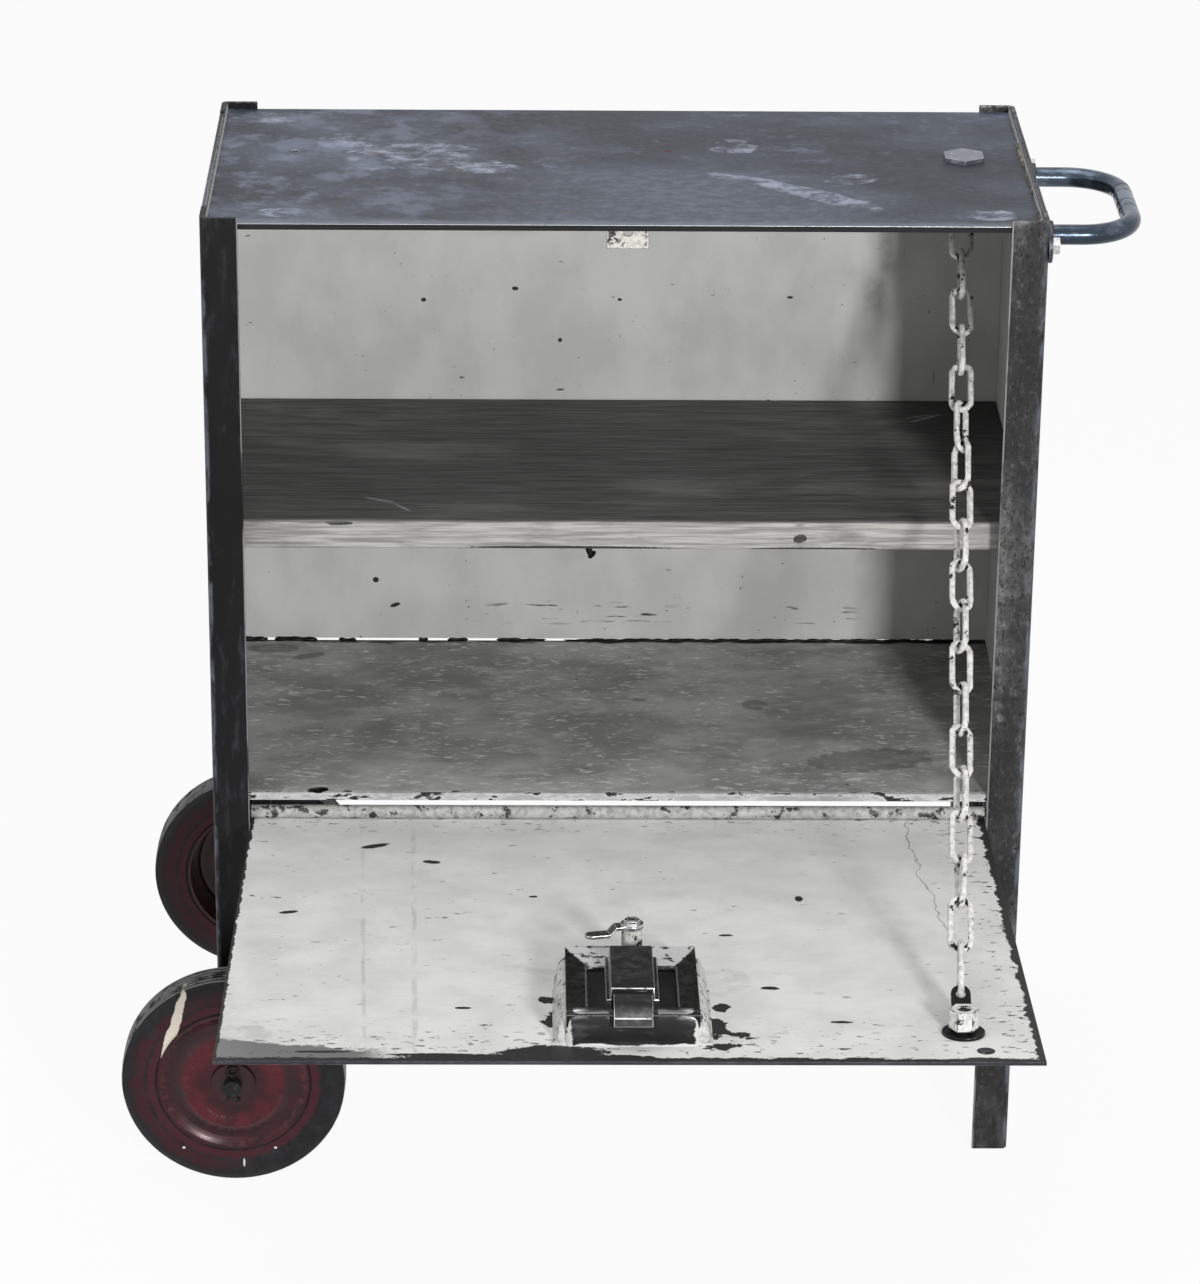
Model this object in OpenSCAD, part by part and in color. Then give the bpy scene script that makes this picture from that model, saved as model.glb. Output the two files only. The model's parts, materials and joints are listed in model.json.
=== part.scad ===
// Rolling steel cabinet: an angle-iron case with one wooden shelf, a drop-down door on a chain,
// two wheels on a fixed axle at the left and a bent tube handle at the right.
// X runs along the width, Y from the open front to the back, Z up from the ground.
// Millimetres and degrees. The rest pose has the door let down on its chain.

/* [Case] */
// Width over the corner posts
case_w = 760; // [660:5:860]
// Depth over the corner posts
case_d = 357; // [327:1:387]
// Height of the post tops above the ground
case_h = 942; // [882:1:1002]
// Width of a post's flange
post_flange = 34; // [30:1:38]
// Thickness of a post's flange
post_t = 4; // [3:0.5:5]
// Outside corner radius of a post
post_r = 6; // [5.5:0.5:8]
// How far a left post runs on below the axle
post_tail = 22; // [16:1:30]
// Thickness of the case's sheets
sheet_t = 2; // [1.5:0.5:3]
// How far the posts stand above the top sheet
rim_h = 6.2; // [5:0.2:9]
// Height of the top sheet's folded front edge
lip_h = 5.6; // [4:0.2:8]
// How far the side sheets stay below the post tops
side_drop = 1; // [0.5:0.5:3]
// Height of the flat rail along each side's top edge
rail_h = 48; // [46:1:60]
// How far the side sheets run on below the hinge rod
side_skirt = 14; // [12:1:20]
// Diameter of the small hole in the top sheet
top_hole_d = 6; // [4:0.5:8]
// Distance of the small top hole from the left face
top_hole_x = 76; // [60:1:110]
// Distance of the small top hole behind the front face
top_hole_y = 220; // [180:1:240]

/* [Floor and shelf] */
// Height of the floor sheet's front edge
floor_z = 376; // [371:1:385]
// How much higher the floor's rear edge lies than its front edge
floor_rise = 8; // [0:1:12]
// Distance of the floor's front edge behind the front face
floor_setback = 5; // [5:0.5:9]
// Height of the floor's folded front edge
floor_hem = 7.5; // [5:0.5:8]
// Gap between the floor and the back panel
floor_gap = 1.8; // [1:0.2:3]
// Height of the shelf's upper face
shelf_z = 642; // [600:1:680]
// Thickness of the shelf board
shelf_t = 27; // [20:1:32]
// Distance of the shelf's front edge behind the front face
shelf_setback = 25; // [20:1:35]
// Play between the shelf board and the sheets
shelf_play = 1; // [0.5:0.5:2]
// Leg of the angle cleat under each end of the shelf
cleat_leg = 20; // [16:1:26]
// Thickness of a cleat
cleat_t = 3; // [2:0.5:4]
// Distance of a cleat's ends from the front and back faces
cleat_inset = 40; // [30:1:60]

/* [Striker] */
// Width of the striker tab
striker_w = 38; // [30:1:44]
// Thickness of the striker tab
striker_t = 2.5; // [2:0.5:3]
// How far the latch bolt passes up behind the striker
striker_lap = 8.6; // [6:0.2:8.8]
// Play between the striker and the latch bolt
striker_play = 1; // [0.6:0.2:2]
// Diameter of the striker's hole
striker_hole_d = 9; // [6:0.5:11]

/* [Door] */
// Height of the hinge rod's axis
hinge_z = 354.6; // [350:0.2:358]
// Diameter of the hinge rod
rod_d = 8; // [6:0.5:8]
// Outside diameter of the hinge sleeve
sleeve_d = 12.6; // [11.4:0.2:13.4]
// Running clearance of a turning fit, on the radius
run_gap = 0.06; // [0.03:0.01:0.09]
// Thickness of the door plate
door_t = 3; // [2:0.5:3]
// Play between the door's ends and the posts
door_play = 1; // [0.8:0.1:1.5]
// Gap between the closed door and the edges that it closes on
door_seat = 0.8; // [0.6:0.1:1.2]
// How far the closed door's upper edge stays below the post tops
door_short = 1; // [0:0.5:3]
// How far the chain holds the open door above the level
door_tilt = 5.22; // [3:0.01:8]
// Distance of the spare hole from the door's right edge
spare_x = 48.3; // [40:0.1:60]
// Distance of the spare hole from the free edge
spare_edge = 24.5; // [18:0.5:30]
// Diameter of the spare hole
spare_d = 15.5; // [10:0.5:18]

/* [Latch] */
// Distance of the latch's middle right of the door's middle
latch_offset = 3; // [-20:1:20]
// Distance from the free edge to the latch pan's front
latch_edge = 35; // [33:1:45]
// Length of the latch pan along the door
pan_len = 158; // [150:1:170]
// Width of the latch pan
pan_w = 112; // [104:1:120]
// Depth of the latch pan above the door
pan_h = 26.5; // [25:0.5:30]
// Sheet thickness of the latch pan
pan_t = 1.5; // [1:0.5:2]
// Width of the pan's welded side flange
pan_flange = 11; // [8:1:13]
// Length of the pan's welded side flange
pan_flange_len = 120; // [100:1:130]
// Thickness of the pan's front bar
bar_t = 10; // [8:1:12]
// Height of the pan's front bar
bar_h = 18; // [14:1:20]
// How far the front bar stands above the pan
bar_rise = 4; // [3:0.5:5]
// Width of a side slot in the pan
side_slot_w = 15; // [12:1:17]
// Length of a side slot in the pan
side_slot_len = 94; // [80:1:100]
// Width of the latch bolt
bolt_w = 33; // [28:1:36]
// Height of the latch bolt
bolt_h = 16; // [13:1:17]
// Height of the latch bolt's lower face above the door's middle plane
bolt_n = 22; // [21:0.5:23]
// Length of the latch bolt
bolt_len = 92; // [84:1:98]
// How far the latch bolt stands out of the front bar
bolt_out = 11; // [10.5:0.5:12]
// Height of the bevel on the latch bolt's nose
bevel_h = 8; // [6:0.5:10]
// Length of the bevel on the latch bolt's nose
bevel_len = 16; // [12:1:18]
// Sliding play round the latch bolt
bolt_play = 0.5; // [0.3:0.1:0.8]
// Length of the bolt's housing
housing_len = 97; // [90:1:105]
// Wall of the bolt's housing
housing_t = 1.5; // [1:0.5:2]
// Width of the housing's welded foot
housing_foot = 4; // [3:0.5:5]
// Distance from the bolt's housing to the front bar
housing_gap = 22; // [20:1:26]
// Thickness of the paddle
paddle_t = 2; // [1.5:0.5:2.5]
// Length of the finger gap behind the paddle
finger_len = 55; // [45:1:65]
// Play between the paddle and the pan
paddle_play = 3; // [2:0.5:4]
// Diameter of the paddle's pin
pin_d = 5; // [4:0.5:6]
// Width of the arm that draws the bolt
arm_w = 12; // [8:1:14]
// Thickness of the arm that draws the bolt
arm_t = 5; // [4:0.5:5]

/* [Lock] */
// Distance from the latch's middle to the lock's axis
lock_offset = 2; // [0:0.5:6]
// Gap between the lock barrel's nut and the pan's rear
lock_gap = 0.4; // [0.4:0.1:4]
// Diameter of the lock barrel
barrel_d = 18; // [16:0.5:20]
// Height of the lock barrel's inner end
barrel_n = 40.8; // [38:0.1:44]
// How far the barrel's nut stands out round it
barrel_nut_out = 1.2; // [1:0.1:2]
// Diameter of the lock plug
plug_d = 10; // [9:0.5:11]
// Diameter of the plug's tail, which carries the lever
tail_d = 8; // [6:0.5:8]
// Length of the cam lever from the lock's axis
cam_len = 42; // [38:1:48]
// Width of the cam lever
cam_w = 13; // [10:0.5:15]
// Thickness of the cam lever
cam_t = 3; // [2:0.5:3]
// Drop of the lever's cranked end
cam_crank = 6; // [4:0.5:6]
// Angle of the lever towards the free edge
cam_angle = 14; // [5:1:16]

/* [Chain] */
// Number of chain links
links = 19; // [18:1:20]
// Wire diameter of a link
wire_d = 5.5; // [5:0.1:6]
// Outside width of a link
link_w = 23; // [23:0.5:26]
// Play between neighbouring links
link_play = 0.3; // [0.2:0.1:0.5]
// Distance of the top chain bolt from the right face
eye_x = 61; // [56:1:76]
// Distance of the top chain bolt behind the front face
eye_y = 205; // [180:1:215]
// Depth of the eye's hole below the top sheet
eye_drop = 54; // [48:1:60]
// Thickness of the eye's blade
eye_t = 6; // [4:0.5:6]
// Diameter of the top chain bolt
eye_bolt_d = 16; // [12:1:18]
// Across flats of the top chain bolt's head
eye_af = 36; // [30:1:38]
// Distance of the door's chain bolt from its right edge
anchor_x = 64; // [56:1:76]
// Distance of the door's chain bolt from the free edge
anchor_edge = 62; // [54:1:70]
// Diameter of the door's chain bolt
anchor_d = 12; // [10:1:13]
// Across flats of the door's chain nut
anchor_af = 22; // [20:1:24]
// Height of the door's chain nut
anchor_nut_h = 17; // [14:1:20]
// Diameter of the washer under the chain tab
anchor_washer_d = 36.5; // [32:0.5:40]
// Width of the chain tab
tab_w = 17; // [15:1:19]
// Thickness of the chain tab
tab_t = 3; // [2:0.5:4]
// Rise of the chain tab from the door, in degrees
tab_angle = 40; // [38:1:42]
// Length of the chain tab's raised part
tab_len = 27; // [24:1:30]

/* [Handle] */
// Diameter of the handle tube
grip_d = 18.5; // [16:0.5:20]
// Distance of the front leg behind the front face
grip_y = 49; // [48:1:60]
// Spacing of the handle's legs
grip_span = 170; // [150:1:190]
// Depth of the handle's middle line below the post tops
grip_drop = 28; // [24:1:30]
// How far the tube's middle line stands out from the posts
grip_reach = 84; // [75:1:95]
// Bend radius of the handle
grip_bend = 50; // [40:1:60]
// Width of the handle's strap
strap_w = 31; // [26:1:34]
// Thickness of the handle's strap
strap_t = 4; // [3:0.5:5]
// Distance from a handle leg to the strap's bolt
strap_over = 32; // [27:1:34]
// Diameter of the strap's bolts
grip_bolt_d = 8; // [6:1:8]
// Across flats of the strap's bolts and nuts
grip_af = 14; // [13:0.5:15]

/* [Wheels] */
// Outside radius of a tyre
wheel_r = 106; // [96:1:112]
// Width of a tyre
tyre_w = 38; // [34:1:44]
// Radius of the disc's rim
rim_r = 72; // [70:1:76]
// Sheet thickness of a wheel disc
disc_t = 3; // [2:0.5:3]
// Diameter of the axle
axle_d = 16; // [14:1:18]
// Distance of the axle behind the case's left face
axle_x = 17.2; // [16.5:0.1:18]
// Gap between a wheel's tyre and the posts
wheel_gap = 27; // [22:1:34]
// How far a hub stands out beside its tyre
hub_out = 1; // [0.5:0.5:3]
// Radius of a hub
hub_r = 15; // [14:0.5:19]
// Thickness of an axle washer
washer_t = 2; // [1.5:0.5:3]
// Radius of the washer outside a wheel
washer_r = 21; // [16:0.5:24]
// Play of a wheel along the axle
wheel_play = 0.3; // [0.2:0.1:0.5]
// Diameter of a split pin
split_d = 4; // [3:0.5:4.5]
// How far the axle runs on beyond a split pin
axle_end = 8; // [6:0.5:12]

/* [Hidden] */
$fn = 48;

// Small overrun that lets a cut pass through a face
cut = 1;

// Heights and faces of the case
top_z = case_h - rim_h;
under_top = top_z - sheet_t;
side_out = post_t;
side_in = post_t + sheet_t;
front_in = post_t;
back_out = case_d - post_t;
back_in = back_out - sheet_t;
floor_back = back_in - sheet_t / 2;
floor_run = floor_back - floor_setback;
panel_z = floor_z + floor_rise + floor_gap;

// Door, measured as s from the hinge axis towards the free edge and n up from its middle plane
sleeve_r = sleeve_d / 2;
door_top = door_t / 2;
plate_drop = sleeve_r + door_top;
hinge_y = front_in - door_seat + sleeve_r;
door_x0 = post_flange + door_play;
door_x1 = case_w - post_flange - door_play;
door_len = case_h - door_short - hinge_z;
spare_hole_x = door_x1 - spare_x;
spare_s = door_len - spare_edge;

// Latch places
latch_x = case_w / 2 + latch_offset;
pan_s1 = door_len - latch_edge;
pan_s0 = pan_s1 - pan_len;
pan_x0 = latch_x - pan_w / 2;
pan_x1 = latch_x + pan_w / 2;
pan_n = door_top + pan_h;
bar_s0 = pan_s1 - bar_t;
bar_r = bar_t / 2;
bar_top = pan_n + bar_rise;
bolt_s1 = pan_s1 + bolt_out;
bolt_s0 = bolt_s1 - bolt_len;
bolt_top = bolt_n + bolt_h;
guide_half = bolt_w / 2 + bolt_play;
housing_half = guide_half + housing_t;
housing_s1 = bar_s0 - housing_gap;
housing_s0 = housing_s1 - housing_len;
housing_n = bolt_top + bolt_play + housing_t;
guide_lip = 5;
slot_s1 = bar_s0 - 3.5;

// Paddle, its pin and the arm that draws the bolt back
pin_s = bar_s0 - 10;
pin_n = door_top + 4.5;
pin_hub_r = pin_d / 2 + 2.5;
arm_n = bolt_n + 4;
arm_play = 2.2;
pocket_h = 8;
ear_t = 2;
paddle_half = pan_w / 2 - pan_t - paddle_play;
paddle_s0 = pan_s0 + pan_t + finger_len;
paddle_s1 = pin_s + 12;
spring_r0 = pin_d / 2 + 0.3;
spring_wire = 1.5;
spring_coils = 8;
spring_x = latch_x + arm_w / 2 + 4;

// Striker, lined up with the latch bolt of the closed door
striker_z = hinge_z + bolt_s1 - striker_lap;
striker_y = hinge_y - plate_drop + bolt_n - striker_play - striker_t;
striker_hole_z = striker_z + 16;

// Lock places
barrel_nut_r = barrel_d / 2 + barrel_nut_out;
barrel_nut_h = 5;
lock_x = latch_x + lock_offset;
lock_s = pan_s0 - lock_gap - barrel_nut_r;
barrel_flange_r = barrel_d / 2 + 3;
barrel_face = -door_top - 2;
cam_n0 = barrel_n + 0.3;
cam_n1 = cam_n0 + cam_t;
cam_ring_r = 10;
cam_washer_t = 1.5;
cam_nut_h = 3;

// Chain ends: the middle of the wire in the eye and in the tab
eye_at = [case_w - eye_x, eye_y, under_top - eye_drop];
eye_hole_r = wire_d / 2 + 1.2;
eye_blade_r = 10;
eye_blade_h = 26;
eye_head_h = 4;
eye_nut_h = 13;
anchor_washer_t = 2.5;
anchor_at_x = door_x1 - anchor_x;
anchor_s = door_len - anchor_edge;
anchor_head_h = 7.5;
tab_flat = 14;
tab_n = door_top + anchor_washer_t;
tab_bend_s = anchor_s - tab_flat;
tab_bend_n = tab_n + tab_t / 2;
tab_hole_s = tab_bend_s - tab_len * cos(tab_angle);
tab_hole_n = tab_bend_n + tab_len * sin(tab_angle) - plate_drop;
tab_at = [anchor_at_x,
          hinge_y - tab_hole_s * cos(door_tilt) + tab_hole_n * sin(door_tilt),
          hinge_z + tab_hole_s * sin(door_tilt) + tab_hole_n * cos(door_tilt)];
chain_v = tab_at - eye_at;
chain_l = norm(chain_v);
link_bend = (link_w - wire_d) / 2;
link_step = wire_d + link_play;
// Distance between the middles of the wires at a link's two ends
link_c = (chain_l + (links - 1) * link_step) / links;
// The run makes up this many quarter turns over a few links, so that both end links fit their holes
quarter_turns = links % 2;
twist_from = 2;
twist_over = 5;

// Wheels and axle
wheel_z = wheel_r;
front_face = -(wheel_gap + tyre_w);
rear_face = case_d + wheel_gap + tyre_w;
pin_out = hub_out + wheel_play + washer_t + split_d / 2 + 0.4;
axle_over = pin_out + axle_end;
axle_y0 = front_face - axle_over;
axle_y1 = rear_face + axle_over;
spacer_len = wheel_gap - hub_out - washer_t - wheel_play;
spacer_wall = 4;
axle_bore = axle_d / 2 + run_gap;
disc_flat_r = 34;
disc_crest_r = 44;
disc_crest = 3;
disc_valley_r = rim_r - 11;
disc_valley = 5;
rim_edge = 0.4;

// Handle
grip_z = case_h - grip_drop;
grip_x1 = case_w + grip_reach;
strap_x1 = case_w + strap_t;
strap_bolts = [grip_y - strap_over, grip_y + grip_span + strap_over];
grip_head_h = 7;
grip_nut_h = 6.5;

// The part's origin: the middle of its footprint box, on the ground
box_x0 = axle_x - wheel_r;
box_x1 = grip_x1 + grip_d / 2;
box_y0 = hinge_y - door_len * cos(door_tilt) - (plate_drop + door_top) * sin(door_tilt);
box_y1 = axle_y1;
mid_x = (box_x0 + box_x1) / 2;
mid_y = (box_y0 + box_y1) / 2;

post_colour = [0.13, 0.13, 0.14];
top_colour = [0.29, 0.31, 0.36];
inner_colour = [0.62, 0.62, 0.61];
door_colour = [0.78, 0.78, 0.76];
floor_colour = [0.42, 0.42, 0.42];
wood_colour = [0.30, 0.28, 0.26];
steel_colour = [0.35, 0.35, 0.36];
dark_colour = [0.17, 0.17, 0.18];
chain_colour = [0.80, 0.79, 0.76];
red_colour = [0.30, 0.05, 0.10];
rubber_colour = [0.07, 0.07, 0.07];

// Moves a piece drawn in the case's own coordinates to the part's origin
module placed() {
    translate([-mid_x, -mid_y, 0]) children();
}

// Hinge frame: X as the case, -Y towards the free edge, Z square to the open door
module on_hinge() {
    placed() translate([0, hinge_y, hinge_z]) rotate([-door_tilt, 0, 0]) children();
}

// Door frame: as the hinge frame, but up from the plate's middle plane
module on_door() {
    on_hinge() translate([0, 0, -plate_drop]) children();
}

// Block in the door frame, from (x0, s0, n0) to (x1, s1, n1)
module door_block(x0, x1, s0, s1, n0, n1) {
    translate([x0, -s1, n0]) cube([x1 - x0, s1 - s0, n1 - n0]);
}

// Cylinder square to the door, from n0 to n1
module door_round(x, s, r, n0, n1) {
    translate([x, -s, n0]) cylinder(h = n1 - n0, r = r);
}

// Block in the door frame that reaches as far as half to each side of the latch's middle
module latch_block(half, s0, s1, n0, n1) {
    door_block(latch_x - half, latch_x + half, s0, s1, n0, n1);
}

// Draws a piece as it stands and mirrored to the latch's other side
module both_sides_of_latch() {
    children();
    translate([2 * latch_x, 0, 0]) mirror([1, 0, 0]) children();
}

// Hexagonal prism standing on z = 0
module hex_prism(af, h) {
    cylinder(h = h, r = af / sqrt(3), $fn = 6);
}

// Cylinder along X from x0 to x1
module round_x(r, x0, x1) {
    translate([x0, 0, 0]) rotate([0, 90, 0]) cylinder(h = x1 - x0, r = r);
}

// Cylinder along Y from y0 to y1
module round_y(r, y0, y1) {
    translate([0, y0, 0]) rotate([-90, 0, 0]) cylinder(h = y1 - y0, r = r);
}

// Corner section of an angle iron, its outside corner at the origin and rounded
module angle_section(leg, t, r) {
    difference() {
        union() {
            translate([r, 0]) square([leg - r, leg]);
            translate([0, r]) square([r, leg - r]);
            translate([r, r]) circle(r);
        }
        translate([t, t]) square([leg, leg]);
    }
}

// Corner post from z0 to the top, in the corner at left or right, front or rear
module post(right, rear, z0) {
    translate([right ? case_w : 0, rear ? case_d : 0, z0])
        mirror([right ? 1 : 0, 0, 0]) mirror([0, rear ? 1 : 0, 0])
            linear_extrude(case_h - z0) angle_section(post_flange, post_t, post_r);
}

module axle_hole() {
    translate([axle_x, 0, wheel_z]) round_y(axle_bore, -cut, case_d + cut);
}

module rod_hole() {
    translate([0, hinge_y, hinge_z]) round_x(rod_d / 2 + run_gap, -cut, case_w + cut);
}

// Hole for one of the strap's bolts through the right side
module strap_hole(y) {
    translate([0, y, grip_z]) round_x(grip_bolt_d / 2 + run_gap, case_w - side_in - cut, strap_x1 + cut);
}

module front_left_post() {
    color(post_colour) placed() difference() {
        post(false, false, wheel_z - post_tail);
        axle_hole();
        rod_hole();
    }
}

module rear_left_post() {
    color(post_colour) placed() difference() {
        post(false, true, wheel_z - post_tail);
        axle_hole();
    }
}

module front_right_post() {
    color(post_colour) placed() difference() {
        post(true, false, 0);
        rod_hole();
        strap_hole(strap_bolts[0]);
    }
}

module rear_right_post() {
    color(post_colour) placed() post(true, true, 0);
}

// Side sheet inside the posts, its outer face at x
module side_sheet(x) {
    z0 = hinge_z - side_skirt;
    difference() {
        translate([x, front_in, z0])
            cube([sheet_t, back_out - front_in, case_h - side_drop - z0]);
        rod_hole();
    }
}

module left_side_sheet() {
    color(inner_colour) placed() side_sheet(side_out);
}

module right_side_sheet() {
    color(inner_colour) placed() difference() {
        side_sheet(case_w - side_in);
        strap_hole(strap_bolts[0]);
        strap_hole(strap_bolts[1]);
    }
}

// Flat rail between the posts' side flanges, outside the side sheet
module top_rail(x) {
    translate([x, post_flange, case_h - side_drop - rail_h])
        cube([post_t, case_d - 2 * post_flange, rail_h]);
}

module left_top_rail() {
    color(post_colour) placed() top_rail(0);
}

module right_top_rail() {
    color(post_colour) placed() difference() {
        top_rail(case_w - post_t);
        strap_hole(strap_bolts[1]);
    }
}

module back_panel() {
    color(inner_colour) placed()
        translate([side_in, back_in, panel_z])
            cube([case_w - 2 * side_in, sheet_t, under_top - panel_z]);
}

// Hole through the top sheet
module top_bore(x, y, r) {
    translate([x, y, under_top - cut]) cylinder(h = sheet_t + 2 * cut, r = r);
}

module top_sheet() {
    width = case_w - 2 * side_in;
    color(top_colour) placed() difference() {
        translate([side_in, front_in, 0]) {
            translate([0, 0, under_top]) cube([width, back_out - front_in, sheet_t]);
            translate([0, 0, top_z - lip_h]) cube([width, sheet_t, lip_h]);
        }
        top_bore(top_hole_x, top_hole_y, top_hole_d / 2);
        top_bore(eye_at[0], eye_at[1], eye_bolt_d / 2 + run_gap);
    }
}

module striker_tab() {
    color(steel_colour) placed() difference() {
        translate([latch_x - striker_w / 2, striker_y, striker_z])
            cube([striker_w, striker_t, under_top - striker_z]);
        translate([latch_x, 0, striker_hole_z])
            round_y(striker_hole_d / 2, striker_y - cut, striker_y + striker_t + cut);
    }
}

module floor_sheet() {
    width = case_w - 2 * side_in;
    color(floor_colour) placed() translate([side_in, floor_setback, floor_z]) {
        rotate([atan(floor_rise / floor_run), 0, 0]) translate([0, 0, -sheet_t])
            cube([width, norm([floor_run, floor_rise]), sheet_t]);
        translate([0, 0, -floor_hem]) cube([width, sheet_t, floor_hem - sheet_t / 2]);
    }
}

// Angle cleat on the left side sheet, its shelf face uppermost
module cleat() {
    z1 = shelf_z - shelf_t;
    len = case_d - 2 * cleat_inset;
    translate([side_in, cleat_inset, z1 - cleat_t]) cube([cleat_leg, len, cleat_t]);
    translate([side_in, cleat_inset, z1 - cleat_leg]) cube([cleat_t, len, cleat_leg - cleat_t]);
}

module shelf_cleats() {
    color(steel_colour) placed() {
        cleat();
        translate([case_w, 0, 0]) mirror([1, 0, 0]) cleat();
    }
}

module shelf_board() {
    color(wood_colour) placed()
        translate([side_in + shelf_play, shelf_setback, shelf_z - shelf_t])
            cube([case_w - 2 * (side_in + shelf_play), back_in - shelf_play - shelf_setback, shelf_t]);
}

module hinge_rod() {
    color(steel_colour) placed()
        translate([0, hinge_y, hinge_z]) round_x(rod_d / 2, 0, case_w);
}

// Puts a piece drawn for a wheel, whose outer tyre face is at y = 0, at the front wheel
module at_front_wheel() {
    translate([axle_x, front_face, wheel_z]) children();
}

// The same piece at the rear wheel, turned to face the other way
module at_rear_wheel() {
    translate([axle_x, rear_face, wheel_z]) mirror([0, 1, 0]) children();
}

// Turns a section drawn as (radius, depth behind the tyre face) round the axle
module turned() {
    rotate([-90, 0, 0]) rotate_extrude($fn = 96) children();
}

// Ring round the axle, from y0 to y1
module axle_ring(r, y0, y1) {
    difference() {
        round_y(r, y0, y1);
        round_y(axle_bore, y0 - cut, y1 + cut);
    }
}

// Hole for a split pin
module split_hole() {
    translate([0, -pin_out, -axle_d]) cylinder(h = 2 * axle_d, r = split_d / 2 + run_gap);
}

module axle() {
    color(steel_colour) placed() difference() {
        translate([axle_x, 0, wheel_z]) round_y(axle_d / 2, axle_y0, axle_y1);
        at_front_wheel() split_hole();
        at_rear_wheel() split_hole();
    }
}

module axle_spacers() {
    r = axle_bore + spacer_wall;
    color(steel_colour) placed() translate([axle_x, 0, wheel_z]) {
        axle_ring(r, -spacer_len, 0);
        axle_ring(r, case_d, case_d + spacer_len);
    }
}

// Outer and inner washer of one wheel
module wheel_washers() {
    inner_y = tyre_w + hub_out + wheel_play;
    axle_ring(washer_r, -hub_out - wheel_play - washer_t, -hub_out - wheel_play);
    axle_ring(hub_r, inner_y, inner_y + washer_t);
}

module axle_washers() {
    color(steel_colour) placed() {
        at_front_wheel() wheel_washers();
        at_rear_wheel() wheel_washers();
    }
}

// Split pin: a shank through the axle, an eye above and two legs spread below
module split_pin() {
    r = split_d / 2;
    thin_r = 0.8 * r;
    half = axle_d / 2 + 2;
    eye_r = 2.2 * r;
    leg_len = 9;
    translate([0, -pin_out, 0]) {
        translate([0, 0, -half]) cylinder(h = 2 * half, r = r);
        translate([0, 0, half + eye_r]) rotate([90, 0, 0])
            rotate_extrude() translate([eye_r, 0]) circle(thin_r);
        for (lean = [-38, 38]) {
            translate([0, 0, -half]) rotate([0, 180 + lean, 0]) cylinder(h = leg_len, r = thin_r);
        }
        translate([0, 0, -half]) sphere(r);
    }
}

module split_pins() {
    color(steel_colour) placed() {
        at_front_wheel() split_pin();
        at_rear_wheel() split_pin();
    }
}

// Pressed disc with its hub tube: a flat middle, a raised crest, a valley and the rim
module disc_section() {
    rim_in = rim_r - disc_t;
    face = [[hub_r, 0], [disc_flat_r, 0], [disc_crest_r - 4, -disc_crest * 0.85],
            [disc_crest_r, -disc_crest], [disc_crest_r + 3, -disc_crest * 0.8],
            [disc_valley_r - 5, disc_valley * 0.7], [disc_valley_r, disc_valley],
            [disc_valley_r + 4, disc_valley * 0.7]];
    back = [for (i = [len(face) - 1 : -1 : 1]) [face[i][0] - rim_edge, face[i][1] + disc_t]];
    polygon(concat(
        [[axle_bore, -hub_out], [hub_r, -hub_out]], face,
        [[rim_in, 2 * rim_edge], [rim_r, rim_edge], [rim_r, tyre_w - rim_edge],
         [rim_in, tyre_w - rim_edge], [rim_in, disc_valley * 0.7 + disc_t]],
        back,
        [[hub_r, disc_t], [hub_r, tyre_w + hub_out], [axle_bore, tyre_w + hub_out]]));
}

// Solid rubber tyre with three ribs round its tread
module tyre_section() {
    edge = 7;
    groove = 2;
    bulge = 1.2;
    rib = (tyre_w - 2 * edge - 2 * groove) / 3;
    face = wheel_r - groove;
    half = [[rim_r, rim_edge], [rim_r + 3, -bulge / 2], [rim_r + 14, -bulge], [wheel_r - 14, -bulge / 2],
            [wheel_r - 6, 0.8], [wheel_r - 2, 3.4], [wheel_r, edge],
            [wheel_r, edge + rib], [face, edge + rib], [face, edge + rib + groove],
            [wheel_r, edge + rib + groove]];
    polygon(concat(half, [for (i = [len(half) - 1 : -1 : 0]) [half[i][0], tyre_w - half[i][1]]]));
}

module front_wheel_disc() {
    color(red_colour) placed() at_front_wheel() turned() disc_section();
}

module front_tyre() {
    color(rubber_colour) placed() at_front_wheel() turned() tyre_section();
}

module rear_wheel_disc() {
    color(red_colour) placed() at_rear_wheel() turned() disc_section();
}

module rear_tyre() {
    color(rubber_colour) placed() at_rear_wheel() turned() tyre_section();
}

// Quarter bend of the handle tube, from +X round to +Y
module tube_bend() {
    rotate_extrude(angle = 90) translate([grip_bend, 0]) circle(grip_d / 2);
}

module handle_bar() {
    r = grip_d / 2;
    y1 = grip_y + grip_span;
    leg_x = grip_x1 - grip_bend;
    color(steel_colour) placed() translate([0, 0, grip_z]) {
        translate([0, grip_y, 0]) round_x(r, strap_x1, leg_x);
        translate([0, y1, 0]) round_x(r, strap_x1, leg_x);
        translate([leg_x, grip_y + grip_bend, 0]) rotate([0, 0, -90]) tube_bend();
        translate([leg_x, y1 - grip_bend, 0]) tube_bend();
        translate([grip_x1, 0, 0]) round_y(r, grip_y + grip_bend, y1 - grip_bend);
    }
}

// Flat strap with round ends that carries the handle's legs
module handle_strap() {
    color(steel_colour) placed() difference() {
        translate([case_w, 0, grip_z]) {
            for (y = strap_bolts) {
                translate([0, y, 0]) round_x(strap_w / 2, 0, strap_t);
            }
            translate([0, strap_bolts[0], -strap_w / 2]) cube([strap_t, strap_bolts[1] - strap_bolts[0], strap_w]);
        }
        strap_hole(strap_bolts[0]);
        strap_hole(strap_bolts[1]);
    }
}

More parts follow.
